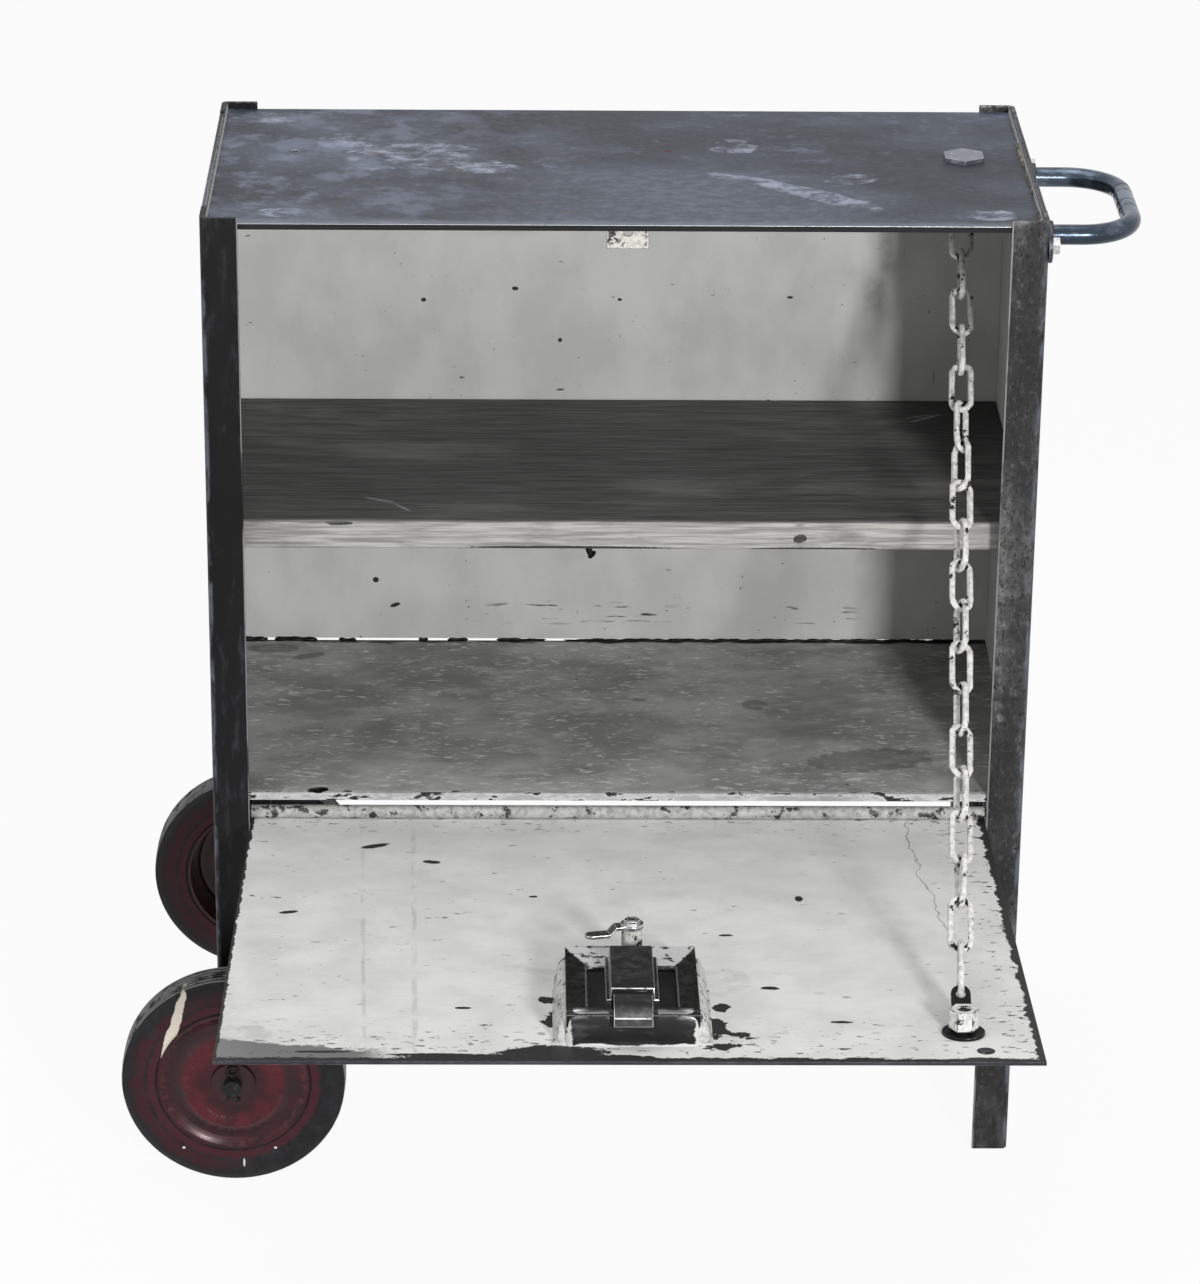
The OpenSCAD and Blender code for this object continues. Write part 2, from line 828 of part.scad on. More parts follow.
module handle_bolts() {
    color(steel_colour) placed() for (y = strap_bolts) {
        translate([0, y, grip_z]) round_x(grip_bolt_d / 2, case_w - side_in - grip_nut_h - 1.5, strap_x1 + cut);
        translate([strap_x1, y, grip_z]) rotate([0, 90, 0]) hex_prism(grip_af, grip_head_h);
    }
}

module handle_nuts() {
    color(steel_colour) placed() for (y = strap_bolts) {
        translate([case_w - side_in, y, grip_z]) difference() {
            rotate([0, -90, 0]) hex_prism(grip_af, grip_nut_h);
            round_x(grip_bolt_d / 2 + run_gap, -grip_nut_h - cut, cut);
        }
    }
}

// Bolt through the top sheet whose lower end is a flat blade with an eye for the chain
module chain_eye_bolt() {
    shank_z = eye_blade_h - 6;
    head_z = eye_drop + sheet_t;
    color(steel_colour) placed() translate(eye_at) difference() {
        union() {
            translate([0, 0, head_z]) rotate([0, 0, 30]) hex_prism(eye_af, eye_head_h);
            translate([0, 0, shank_z]) cylinder(h = head_z + cut - shank_z, d = eye_bolt_d);
            round_x(eye_blade_r, -eye_t / 2, eye_t / 2);
            translate([-eye_t / 2, -eye_blade_r, 0]) cube([eye_t, 2 * eye_blade_r, eye_blade_h]);
        }
        round_x(eye_hole_r, -eye_t, eye_t);
    }
}

module chain_eye_nut() {
    color(steel_colour) placed() translate([eye_at[0], eye_at[1], under_top - eye_nut_h]) difference() {
        hex_prism(eye_af - 6, eye_nut_h);
        translate([0, 0, -cut]) cylinder(h = eye_nut_h + 2 * cut, r = eye_bolt_d / 2 + run_gap);
    }
}

// One end bend of a link, below the origin in the XZ plane
module link_end() {
    rotate([-90, 0, 0]) rotate_extrude(angle = 180) translate([link_bend, 0]) circle(wire_d / 2);
}

// Link in the XZ plane, from the wire at z = 0 to the wire at z = link_c
module chain_link() {
    translate([0, 0, link_bend]) link_end();
    translate([0, 0, link_c - link_bend]) mirror([0, 0, 1]) link_end();
    for (x = [-link_bend, link_bend]) {
        translate([x, 0, link_bend]) cylinder(h = link_c - 2 * link_bend, d = wire_d);
    }
}

// Turn of link i about the chain: neighbours lie across each other, and the run twists on its way
function link_turn(i) = 90 * (1 + i % 2 + quarter_turns * min(max((i - twist_from) / twist_over, 0), 1));

module door_chain() {
    color(chain_colour) placed() translate(eye_at)
        rotate([0, acos(chain_v[2] / chain_l), atan2(chain_v[1], chain_v[0])])
            for (i = [0 : links - 1]) {
                translate([0, 0, i * (link_c - link_step)]) rotate([0, 0, link_turn(i)]) chain_link($fn = 16);
            }
}

module door_plate() {
    n0 = -door_top - cut;
    n1 = door_top + cut;
    color(door_colour) on_door() difference() {
        door_block(door_x0, door_x1, -sleeve_r, door_len, -door_top, door_top);
        door_block(pan_x0, pan_x1, pan_s0, pan_s1, n0, n1);
        door_round(spare_hole_x, spare_s, spare_d / 2, n0, n1);
        door_round(anchor_at_x, anchor_s, anchor_d / 2 + run_gap, n0, n1);
        door_round(lock_x, lock_s, barrel_d / 2 + run_gap, n0, n1);
    }
}

module hinge_sleeve() {
    color(door_colour) on_hinge() difference() {
        round_x(sleeve_r, door_x0, door_x1);
        round_x(rod_d / 2 + run_gap, door_x0 - cut, door_x1 + cut);
    }
}

module chain_anchor_bolt() {
    color(steel_colour) on_door() {
        door_round(anchor_at_x, anchor_s, anchor_d / 2, -door_top - cut, tab_n + tab_t + anchor_nut_h - 1.5);
        translate([anchor_at_x, -anchor_s, -door_top - anchor_head_h])
            hex_prism(anchor_d * 1.5, anchor_head_h);
    }
}

module chain_anchor_washer() {
    color(dark_colour) on_door() difference() {
        door_round(anchor_at_x, anchor_s, anchor_washer_d / 2, door_top, tab_n);
        door_round(anchor_at_x, anchor_s, anchor_d / 2 + run_gap, door_top - cut, tab_n + cut);
    }
}

// Tab with a flat foot under the nut and a raised end with the chain's hole
module chain_tab() {
    half = tab_w / 2;
    color(dark_colour) on_door() difference() {
        union() {
            door_round(anchor_at_x, anchor_s, half, tab_n, tab_n + tab_t);
            door_block(anchor_at_x - half, anchor_at_x + half, tab_bend_s, anchor_s, tab_n, tab_n + tab_t);
            translate([anchor_at_x, -tab_bend_s, tab_bend_n]) {
                round_x(tab_t / 2, -half, half);
                rotate([tab_angle, 0, 0]) translate([0, 0, -tab_t / 2]) {
                    translate([-half, 0, 0]) cube([tab_w, tab_len, tab_t]);
                    translate([0, tab_len, 0]) cylinder(h = tab_t, r = half);
                }
            }
        }
        door_round(anchor_at_x, anchor_s, anchor_d / 2 + run_gap, tab_n - cut, tab_n + tab_t + cut);
        translate([anchor_at_x, -tab_bend_s, tab_bend_n]) rotate([tab_angle, 0, 0])
            translate([0, tab_len, -tab_t]) cylinder(h = 2 * tab_t, r = eye_hole_r);
    }
}

module chain_anchor_nut() {
    n0 = tab_n + tab_t;
    color(door_colour) on_door() difference() {
        translate([anchor_at_x, -anchor_s, n0]) hex_prism(anchor_af, anchor_nut_h);
        door_round(anchor_at_x, anchor_s, anchor_d / 2 + run_gap, n0 - cut, n0 + anchor_nut_h + cut);
    }
}

// Hole for the paddle's pin
module pin_hole(x0, x1) {
    translate([0, -pin_s, pin_n]) round_x(pin_d / 2 + run_gap, x0, x1);
}

// Pan pressed into the door, open to the outside, with a stout front bar
module latch_pan() {
    slot_x0 = latch_x + housing_half + housing_foot;
    color(dark_colour) on_door() difference() {
        union() {
            difference() {
                door_block(pan_x0, pan_x1, pan_s0, pan_s1, -door_top, pan_n);
                door_block(pan_x0 + pan_t, pan_x1 - pan_t, pan_s0 + pan_t, pan_s1 - pan_t,
                           -door_top - cut, pan_n - pan_t);
            }
            both_sides_of_latch()
                door_block(pan_x0 - pan_flange, pan_x0 + pan_t, pan_s1 - pan_flange_len, pan_s1,
                           door_top, door_top + pan_t);
            door_block(pan_x0, pan_x1, bar_s0, pan_s1, bar_top - bar_h, bar_top - bar_r);
            translate([0, -bar_s0 - bar_r, bar_top - bar_r]) round_x(bar_r, pan_x0, pan_x1);
        }
        latch_block(guide_half, bar_s0 - cut, pan_s1 + cut, bolt_n - bolt_play, bar_top + cut);
        latch_block(housing_half, housing_s0, bar_s0, pan_n - pan_t - cut, pan_n + cut);
        both_sides_of_latch()
            door_block(slot_x0, slot_x0 + side_slot_w, slot_s1 - side_slot_len, slot_s1,
                       pan_n - pan_t - cut, pan_n + cut);
        pin_hole(pan_x0 - cut, pan_x1 + cut);
    }
}

// Channel over the latch bolt, with lips under it and feet on the pan
module latch_housing() {
    lip_n1 = bolt_n - bolt_play;
    lip_n0 = lip_n1 - housing_t;
    in_s0 = housing_s0 + housing_t;
    in_n1 = housing_n - housing_t;
    color(dark_colour) on_door() {
        difference() {
            latch_block(housing_half, housing_s0, housing_s1, lip_n0, housing_n);
            latch_block(guide_half, in_s0, housing_s1 + cut, lip_n1, in_n1);
            latch_block(guide_half - guide_lip, in_s0, housing_s1 + cut, lip_n0 - cut, in_n1);
        }
        both_sides_of_latch()
            door_block(latch_x + housing_half, latch_x + housing_half + housing_foot, housing_s0, housing_s1,
                       pan_n, pan_n + housing_t);
    }
}

// Bolt with a bevelled nose, a grip notch on top and a pocket below for the paddle's arm
module latch_bolt() {
    half = bolt_w / 2;
    notch_half = half - 3.5;
    notch_s0 = housing_s1 - 3;
    notch_len = 7;
    notch_deep = 5;
    pocket_half = arm_t / 2 + arm_play;
    color(dark_colour) on_door() difference() {
        translate([latch_x - half, 0, 0]) rotate([90, 0, 90]) linear_extrude(bolt_w) polygon([
            [-bolt_s0, bolt_n], [-bolt_s0, bolt_top], [-bolt_s1 + bevel_len, bolt_top],
            [-bolt_s1, bolt_top - bevel_h], [-bolt_s1, bolt_n]
        ]);
        latch_block(notch_half, notch_s0, notch_s0 + notch_len, bolt_top - notch_deep, bolt_top + cut);
        latch_block(arm_w / 2 + arm_play, pin_s - pocket_half, pin_s + pocket_half, bolt_n - cut, bolt_n + pocket_h);
    }
}

// Paddle on the outside of the door, with two ears and the arm that draws the bolt
module latch_paddle() {
    ear_x0 = latch_x + paddle_half - ear_t;
    ear_x1 = latch_x + paddle_half;
    arm_half = arm_w / 2;
    color(dark_colour) on_door() difference() {
        union() {
            latch_block(paddle_half, paddle_s0, paddle_s1, -door_top, paddle_t - door_top);
            both_sides_of_latch() {
                door_block(ear_x0, ear_x1, pin_s - pin_hub_r, pin_s + pin_hub_r, -door_top, pin_n);
                translate([0, -pin_s, pin_n]) round_x(pin_hub_r, ear_x0, ear_x1);
            }
            latch_block(arm_half, pin_s - arm_t / 2, pin_s + arm_t / 2, -door_top, arm_n);
            translate([0, -pin_s, arm_n]) round_x(arm_t / 2, latch_x - arm_half, latch_x + arm_half);
            translate([0, -pin_s, pin_n]) round_x(pin_hub_r, latch_x - arm_half, latch_x + arm_half);
        }
        pin_hole(pan_x0, pan_x1);
    }
}

module paddle_pin() {
    color(steel_colour) on_door() translate([0, -pin_s, pin_n]) round_x(pin_d / 2, pan_x0, pan_x1);
}

// Close-wound return spring round the paddle's pin
module paddle_spring() {
    color(steel_colour) on_door() translate([spring_x, -pin_s, pin_n]) rotate([0, 90, 0])
        rotate_extrude($fn = 24) polygon(concat(
            [[spring_r0, spring_coils * spring_wire], [spring_r0, 0]],
            [for (i = [0 : spring_coils - 1]) for (p = [[0.6, 0], [1, 0.3], [1, 0.7], [0.6, 1]])
                 if (i == spring_coils - 1 || p[1] < 1) [spring_r0 + p[0] * spring_wire, (i + p[1]) * spring_wire]]));
}

module lock_barrel() {
    color(steel_colour) on_door() difference() {
        union() {
            door_round(lock_x, lock_s, barrel_d / 2, barrel_face, barrel_n);
            door_round(lock_x, lock_s, barrel_flange_r, barrel_face, -door_top);
        }
        door_round(lock_x, lock_s, plug_d / 2 + run_gap, barrel_face - cut, barrel_n + cut);
    }
}

module lock_barrel_nut() {
    n1 = door_top + barrel_nut_h;
    color(steel_colour) on_door() difference() {
        door_round(lock_x, lock_s, barrel_nut_r, door_top, n1);
        door_round(lock_x, lock_s, barrel_d / 2 + run_gap, door_top - cut, n1 + cut);
    }
}

// Plug with a keyway outside and a tail that carries the lever inside
module lock_plug() {
    key_w = 1.6;
    key_h = 6;
    key_deep = 9;
    color(steel_colour) on_door() difference() {
        union() {
            door_round(lock_x, lock_s, plug_d / 2, barrel_face, cam_n0);
            door_round(lock_x, lock_s, tail_d / 2, cam_n0 - cut, cam_n1 + cam_washer_t + cam_nut_h);
        }
        door_block(lock_x - key_w / 2, lock_x + key_w / 2, lock_s - key_h / 2, lock_s + key_h / 2,
                   barrel_face - cut, barrel_face + key_deep);
    }
}

// Cranked lever on the plug's tail, pointing left: an outline cut away above and below the crank
module lock_cam() {
    half = cam_w / 2;
    tip_x = cam_len - half;
    bend_x = cam_ring_r + 5;
    low_x = bend_x + cam_crank;
    low_n = cam_t - cam_crank;
    wide = cam_ring_r + cut;
    color(steel_colour) on_door() translate([lock_x, -lock_s, cam_n0]) rotate([0, 0, cam_angle]) difference() {
        translate([0, 0, -cam_crank]) linear_extrude(cam_t + cam_crank) union() {
            circle(cam_ring_r);
            translate([-tip_x, -half]) square([tip_x, cam_w]);
            translate([-tip_x, 0]) circle(half);
        }
        translate([0, wide, 0]) rotate([90, 0, 0]) linear_extrude(2 * wide) polygon([
            [-bend_x, cam_t], [-bend_x, cam_t + cut], [-cam_len - cut, cam_t + cut],
            [-cam_len - cut, low_n], [-low_x, low_n]
        ]);
        translate([0, wide, 0]) rotate([90, 0, 0]) linear_extrude(2 * wide) polygon([
            [wide, 0], [-bend_x - 1, 0], [-low_x - 1, -cam_crank],
            [-low_x - 1, -cam_crank - cut], [wide, -cam_crank - cut]
        ]);
        translate([0, 0, -cut]) cylinder(h = cam_t + 2 * cut, r = tail_d / 2 + run_gap);
    }
}

module lock_cam_nut() {
    n1 = cam_n1 + cam_washer_t;
    color(steel_colour) on_door() difference() {
        union() {
            door_round(lock_x, lock_s, cam_ring_r, cam_n1, n1);
            translate([lock_x, -lock_s, n1]) hex_prism(tail_d * 1.6, cam_nut_h);
        }
        door_round(lock_x, lock_s, tail_d / 2 + run_gap, cam_n1 - cut, n1 + cam_nut_h + cut);
    }
}

front_left_post();
rear_left_post();
front_right_post();
rear_right_post();
left_side_sheet();
right_side_sheet();
left_top_rail();
right_top_rail();
back_panel();
top_sheet();
striker_tab();
floor_sheet();
shelf_cleats();
shelf_board();
hinge_rod();
axle();
axle_spacers();
axle_washers();
split_pins();
front_wheel_disc();
front_tyre();
rear_wheel_disc();
rear_tyre();
handle_bar();
handle_strap();
handle_bolts();
handle_nuts();
chain_eye_bolt();
chain_eye_nut();
door_chain();
door_plate();
hinge_sleeve();
chain_anchor_bolt();
chain_anchor_washer();
chain_tab();
chain_anchor_nut();
latch_pan();
latch_housing();
latch_bolt();
latch_paddle();
paddle_pin();
paddle_spring();
lock_barrel();
lock_barrel_nut();
lock_plug();
lock_cam();
lock_cam_nut();
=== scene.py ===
"""Rolling steel cabinet: the dress over the CAD frame.

Sizes in the classes are millimetres of the case: x runs from the left posts' outer face, y from the posts' front
faces to the back, z up from the ground. The door has its own axes: x, s along the plate from the hinge, and n
out of its inner face. Colours are 8-bit screen values: one grey, or red, green and blue.
"""

import json
import logging
import math
from collections.abc import Callable
from dataclasses import dataclass
from enum import Enum
from typing import ClassVar

import bmesh
import bpy
import numpy as np
from mathutils import Matrix, Vector
from mathutils.kdtree import KDTree


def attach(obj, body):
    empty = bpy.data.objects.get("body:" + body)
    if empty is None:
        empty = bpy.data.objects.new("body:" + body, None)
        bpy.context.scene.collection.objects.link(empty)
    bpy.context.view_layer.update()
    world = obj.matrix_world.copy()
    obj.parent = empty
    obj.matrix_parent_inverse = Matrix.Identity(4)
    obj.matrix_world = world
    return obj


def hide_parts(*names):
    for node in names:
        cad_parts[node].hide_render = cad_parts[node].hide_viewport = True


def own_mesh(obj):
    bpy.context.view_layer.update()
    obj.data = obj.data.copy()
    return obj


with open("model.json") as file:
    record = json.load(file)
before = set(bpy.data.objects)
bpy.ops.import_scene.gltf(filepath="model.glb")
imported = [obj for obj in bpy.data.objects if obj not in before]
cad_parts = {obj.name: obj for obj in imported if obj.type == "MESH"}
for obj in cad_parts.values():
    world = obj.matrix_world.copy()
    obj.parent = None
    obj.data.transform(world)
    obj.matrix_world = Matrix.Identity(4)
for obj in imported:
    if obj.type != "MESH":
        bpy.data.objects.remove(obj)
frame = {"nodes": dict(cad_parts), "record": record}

log = logging.getLogger("cabinet")
CASE_MID = np.array([382.225, -69.80707, 0.0])
HINGE_Y, HINGE_Z, PLATE_DROP = 9.5, 354.6, 7.8
TILT = math.radians(5.22)
AXLE_X, AXLE_Z = 17.2, 106.0
LATCH_X = 383.0
EVEN = (1, 1, 1)
MERGE_METRES = 2e-6
Colour = float | tuple | bpy.types.NodeSocket
BODY_OF = {node: body for body, nodes in frame["record"]["behaviour"]["bodies"].items() for node in nodes}
SLOT_OF = {part["node"]: part["material_slot"] for part in frame["record"]["subparts"]}


class Side(Enum):
    """Which way a flat sheet's painted face looks: an axis and its sign."""

    LEFT = ("x", -1)
    RIGHT = ("x", 1)
    FRONT = ("y", -1)
    DOOR_INNER = ("n", 1)


def grid(*parts: np.ndarray) -> np.ndarray:
    """Points from coordinates that broadcast against each other."""
    return np.stack(np.broadcast_arrays(*parts), -1)


def metres(points: np.ndarray) -> np.ndarray:
    """Frame metres of case millimetres."""
    return (np.asarray(points, float) - CASE_MID) / 1000.0


def on_door(x: np.ndarray, s: np.ndarray, n: np.ndarray) -> np.ndarray:
    """Case millimetres of door coordinates: the hinge point plus s along the plate and n across it."""
    y = HINGE_Y - np.cos(TILT) * s + np.sin(TILT) * (n - PLATE_DROP)
    z = HINGE_Z + np.sin(TILT) * s + np.cos(TILT) * (n - PLATE_DROP)
    return grid(x, y, z)


def eased(t: np.ndarray) -> np.ndarray:
    """A smooth rise from 0 to 1 as t does, clipped at both ends."""
    t = np.clip(t, 0, 1)
    return t * t * (3 - 2 * t)


def ink(colour: Colour, dim: float = 1.0) -> Colour:
    """Linear RGBA of an 8-bit colour, dimmed by a factor. Sockets and linear RGBA pass as they are."""
    if isinstance(colour, bpy.types.NodeSocket) or np.size(colour) == 4:
        return colour
    c = np.broadcast_to(colour, 3) / 255.0
    lin = np.where(c <= 0.04045, c / 12.92, ((c + 0.055) / 1.055) ** 2.4) * dim
    return (*map(float, lin), 1.0)


def operator(name: str, swapped: bool = False) -> Callable:
    """Makes one of Sock's operators.

    Args:
        name: the Math node's operation.
        swapped: puts the other number first.
    Returns:
        The method.
    """
    def method(self: "Sock", other: object = 0.0) -> "Sock":
        """One Math node on the two numbers."""
        return self.net.math(name, *((other, self) if swapped else (self, other)))

    return method


class Sock:
    """A number that flows through a shader, with plain arithmetic."""

    __add__ = __radd__ = operator("ADD")
    __sub__, __rsub__ = operator("SUBTRACT"), operator("SUBTRACT", True)
    __mul__ = __rmul__ = operator("MULTIPLY")
    __truediv__, __rtruediv__ = operator("DIVIDE"), operator("DIVIDE", True)
    __pow__, __rpow__ = operator("POWER"), operator("POWER", True)
    __abs__ = operator("ABSOLUTE")
    most = operator("MAXIMUM")
    sine = operator("SINE")

    def __init__(self, net: "Net", out: bpy.types.NodeSocket) -> None:
        """Wraps one output socket."""
        self.net, self.out = net, out

    def step(self, low: float, high: float) -> "Sock":
        """A smooth rise from 0 at low to 1 at high; with low above high it falls."""
        sockets = {0: self, 1: low, 2: high, 3: 0.0, 4: 1.0}
        return Sock(self.net, self.net.node("MapRange", sockets, interpolation_type="SMOOTHSTEP").outputs[0])

    def near(self, at: float, half: float, soft: float) -> "Sock":
        """1 within half of the value at, falling to 0 over soft."""
        return abs(self - at).step(half + soft, half)


class Net:
    """A node tree, with helpers that add and join its nodes."""

    def __init__(self, owner: bpy.types.ID) -> None:
        """Empties the tree of a new material or world."""
        owner.use_nodes = True
        self.owner, self.tree = owner, owner.node_tree
        self.tree.nodes.clear()

    def node(self, kind: str, sockets: dict, **settings: object) -> bpy.types.Node:
        """Adds a node.

        Args:
            kind: the node's type, without the ShaderNode that it starts with.
            sockets: input index or name to a number, tuple, Sock or output socket.
            settings: properties, set before the sockets.
        Returns:
            The new node.
        """
        made = self.tree.nodes.new(f"ShaderNode{kind}")
        for key, value in settings.items():
            setattr(made, key, value)
        for key, value in sockets.items():
            value = value.out if isinstance(value, Sock) else value
            if isinstance(value, bpy.types.NodeSocket):
                self.tree.links.new(value, made.inputs[key])
            else:
                made.inputs[key].default_value = value
        return made

    def math(self, operation: str, a: object, b: object) -> Sock:
        """One Math node."""
        return Sock(self, self.node("Math", {0: a, 1: b}, operation=operation).outputs[0])

    def mix(self, mask: object, a: Colour, b: Colour) -> bpy.types.NodeSocket:
        """Colour a where the mask is 0 and b where it is 1."""
        return self.node("Mix", {0: mask, 6: ink(a), 7: ink(b)}, data_type="RGBA").outputs[2]

    def seen(self) -> Sock:
        """1 on rays that show the background: camera, glossy or transmission."""
        path = self.node("LightPath", {})
        camera, glossy, through = (Sock(self, path.outputs[f"Is {kind} Ray"])
                                   for kind in ("Camera", "Glossy", "Transmission"))
        return camera.most(glossy).most(through)

    def blend(self, output: str, share: Sock, a: bpy.types.Node, b: bpy.types.Node) -> None:
        """Ends the tree with two shaders, a where the share is 0 and b where it is 1."""
        mixed = self.node("MixShader", {0: share, 1: a.outputs[0], 2: b.outputs[0]})
        self.node(output, {0: mixed.outputs[0]})


class Surface(Net):
    """One material's nodes, with the place on the case as x, y and z in millimetres."""

    def __init__(self, name: str) -> None:
        """Starts a material and reads the place."""
        super().__init__(bpy.data.materials.new(name))
        at = self.node("TexCoord", {}).outputs["Object"]
        scaled = self.node("VectorMath", {0: at, 1: (1000.0,) * 3, 2: tuple(CASE_MID)}, operation="MULTIPLY_ADD")
        self.place = scaled.outputs[0]
        self.x, self.y, self.z = (Sock(self, out) for out in self.node("SeparateXYZ", {0: self.place}).outputs)

    def noise(self, period: float, detail: float = 3.0, stretch: tuple = EVEN, shift: float = 0.0,
              rough: float = 0.55) -> Sock:
        """Cloudy noise from 0 to 1 in case millimetres.

        Args:
            period: size of the largest clouds.
            detail: octaves.
            stretch: factor on the period along each axis.
            shift: moves the pattern, so that two noises differ.
            rough: share of each finer octave.
        Returns:
            The noise value.
        """
        scale = tuple(1.0 / (period * s) for s in stretch)
        moved = self.node("Mapping", {"Vector": self.place, "Location": (shift,) * 3, "Scale": scale})
        return Sock(self, self.node("TexNoise", {"Vector": moved.outputs[0], "Scale": 1.0, "Detail": detail,
                                                 "Roughness": rough}).outputs[0])

    def door(self) -> tuple:
        """The door's s and n in millimetres."""
        y, z = self.y - HINGE_Y, self.z - HINGE_Z
        s = z * math.sin(TILT) - y * math.cos(TILT)
        n = y * math.sin(TILT) + z * math.cos(TILT) + PLATE_DROP
        return s, n

    def radius(self) -> Sock:
        """The distance from the axle in millimetres."""
        dx, dz = self.x - AXLE_X, self.z - AXLE_Z
        return (dx * dx + dz * dz) ** 0.5

    def worn(self) -> Sock:
        """The mesh's mark of worn places."""
        return Sock(self, self.node("Attribute", {}, attribute_name="worn").outputs["Fac"])

    def spots(self, u: Sock, v: Sock, table: tuple, ragged: float = 0.6, period: float = 5.0) -> Sock:
        """Ragged ellipses.

        Args:
            u: first coordinate.
            v: second coordinate.
            table: rows of centre u, centre v, half length, half width and turn in degrees.
            ragged: how far noise moves the outline.
            period: size of the outline's waves.
        Returns:
            1 inside the ellipses.
        """
        rag = (self.noise(period, 3, shift=3.7) - 0.5) * (2 * ragged)
        total = None
        for cu, cv, ru, rv, turn in table:
            c, s = math.cos(math.radians(turn)), math.sin(math.radians(turn))
            du, dv = u - cu, v - cv
            a, b = (du * c + dv * s) / ru, (dv * c - du * s) / rv
            one = (a * a + b * b + rag).step(1.25, 0.85)
            total = one if total is None else total.most(one)
        return total

    def steel(self, dark: Colour, mid: Colour, pale: Colour, rough: float = 0.45, metal: float = 0.7,
              grain: tuple = EVEN, pits: float = 0.7) -> "Look":
        """Weathered steel: slow clouds between dark and mid, fine pale speckle, and dark pits.

        Args:
            dark: colour of the darkest clouds.
            mid: colour of the lighter clouds.
            pale: colour of the speckle.
            rough: mean roughness.
            metal: metal share.
            grain: stretch of the clouds.
            pits: weight of the pits.
        Returns:
            The look.
        """
        cloud, fine = self.noise(110, 5, grain), self.noise(9, 5, grain, 7.0, 0.65)
        pit = self.noise(2.6, 2, shift=11.0).step(0.64, 0.72) * self.noise(30, 2, shift=5.0).step(0.4, 0.6) * pits
        colour = self.mix(cloud.step(0.38, 0.62), dark, mid)
        colour = self.mix((fine * 0.6 + cloud * 0.4).step(0.5, 0.66), colour, pale)
        colour = self.mix(pit, colour, ink(dark, 0.35))
        return Look(self, colour, (fine - 0.5) * 0.35 + rough + pit * 0.25, metal, fine * 0.10 - pit * 0.18)

    def close(self, look: "Look", coat: float, gloss: float) -> bpy.types.Material:
        """Ends the material with one principled shader.

        Args:
            look: colour, roughness, metal share and relief.
            coat: clear coat weight.
            gloss: specular level of what isn't metal.
        Returns:
            The material.
        """
        bump = self.node("Bump", {"Strength": 0.9, "Distance": 0.001, "Height": look.relief})
        shader = self.node("BsdfPrincipled", {
            "Base Color": look.colour, "Roughness": look.rough, "Metallic": look.metal, "Coat Weight": coat,
            "Coat Roughness": 0.25, "Specular IOR Level": gloss, "Normal": bump.outputs[0]})
        self.node("OutputMaterial", {0: shader.outputs[0]})
        return self.owner


@dataclass
class Look:
    """What a surface is at each point: colour, roughness, metal share and relief in millimetres."""

    net: Surface
    colour: Colour
    rough: object
    metal: object = 0.0
    relief: object = 0.0

    def under(self, top: "Look", mask: Sock) -> "Look":
        """This look with another laid over it where the mask is 1."""
        return Look(self.net, self.net.mix(mask, self.colour, top.colour), self.rough + mask * (top.rough - self.rough),
                    self.metal + mask * (top.metal - self.metal), self.relief + mask * (top.relief - self.relief))

    def over(self, mask: Sock, *top: object) -> "Look":
        """This look with a plain one laid over it where the mask is 1, given as in Look from its colour on."""
        return self.under(Look(self.net, *top), mask)

    def worn(self, bright: Colour, amount: float = 0.5, share: float = 0.8) -> "Look":
        """Bare bright metal along the bevelled edges, broken up by noise.

        Args:
            bright: colour of the bare metal.
            amount: threshold of the noise, lower shows more.
            share: strength of the bare metal.
        Returns:
            This look with its edges worn.
        """
        rag = self.net.noise(6, 3, shift=21.0).step(amount - 0.1, amount + 0.06)
        return self.over(self.net.worn() * rag * share, bright, 0.32, 0.9)


class Finish:
    """A surface finish that makes its material once."""

    name: str
    coat: ClassVar[float] = 0.0
    gloss: ClassVar[float] = 0.25

    def look(self, net: Surface) -> Look:
        """The finish's look on a fresh set of nodes."""
        raise NotImplementedError

    def material(self) -> bpy.types.Material:
        """The finish's material, made at its first use."""
        made = bpy.data.materials.get(self.name)
        if made is None:
            net = Surface(self.name)
            made = net.close(self.look(net), self.coat, self.gloss)
        return made


@dataclass(frozen=True)
class Steel(Finish):
    """Bare or blackened steel in one range of greys."""

    name: str
    dark: Colour
    mid: Colour
    pale: Colour
    bright: Colour = 190
    rough: float = 0.42
    metal: float = 0.8
    grain: tuple = EVEN
    pits: float = 0.5
    wear: float = 0.45

    def look(self, net: Surface) -> Look:
        """Weathered steel with worn edges."""
        base = net.steel(self.dark, self.mid, self.pale, self.rough, self.metal, self.grain, self.pits)
        return base.worn(self.bright, self.wear)


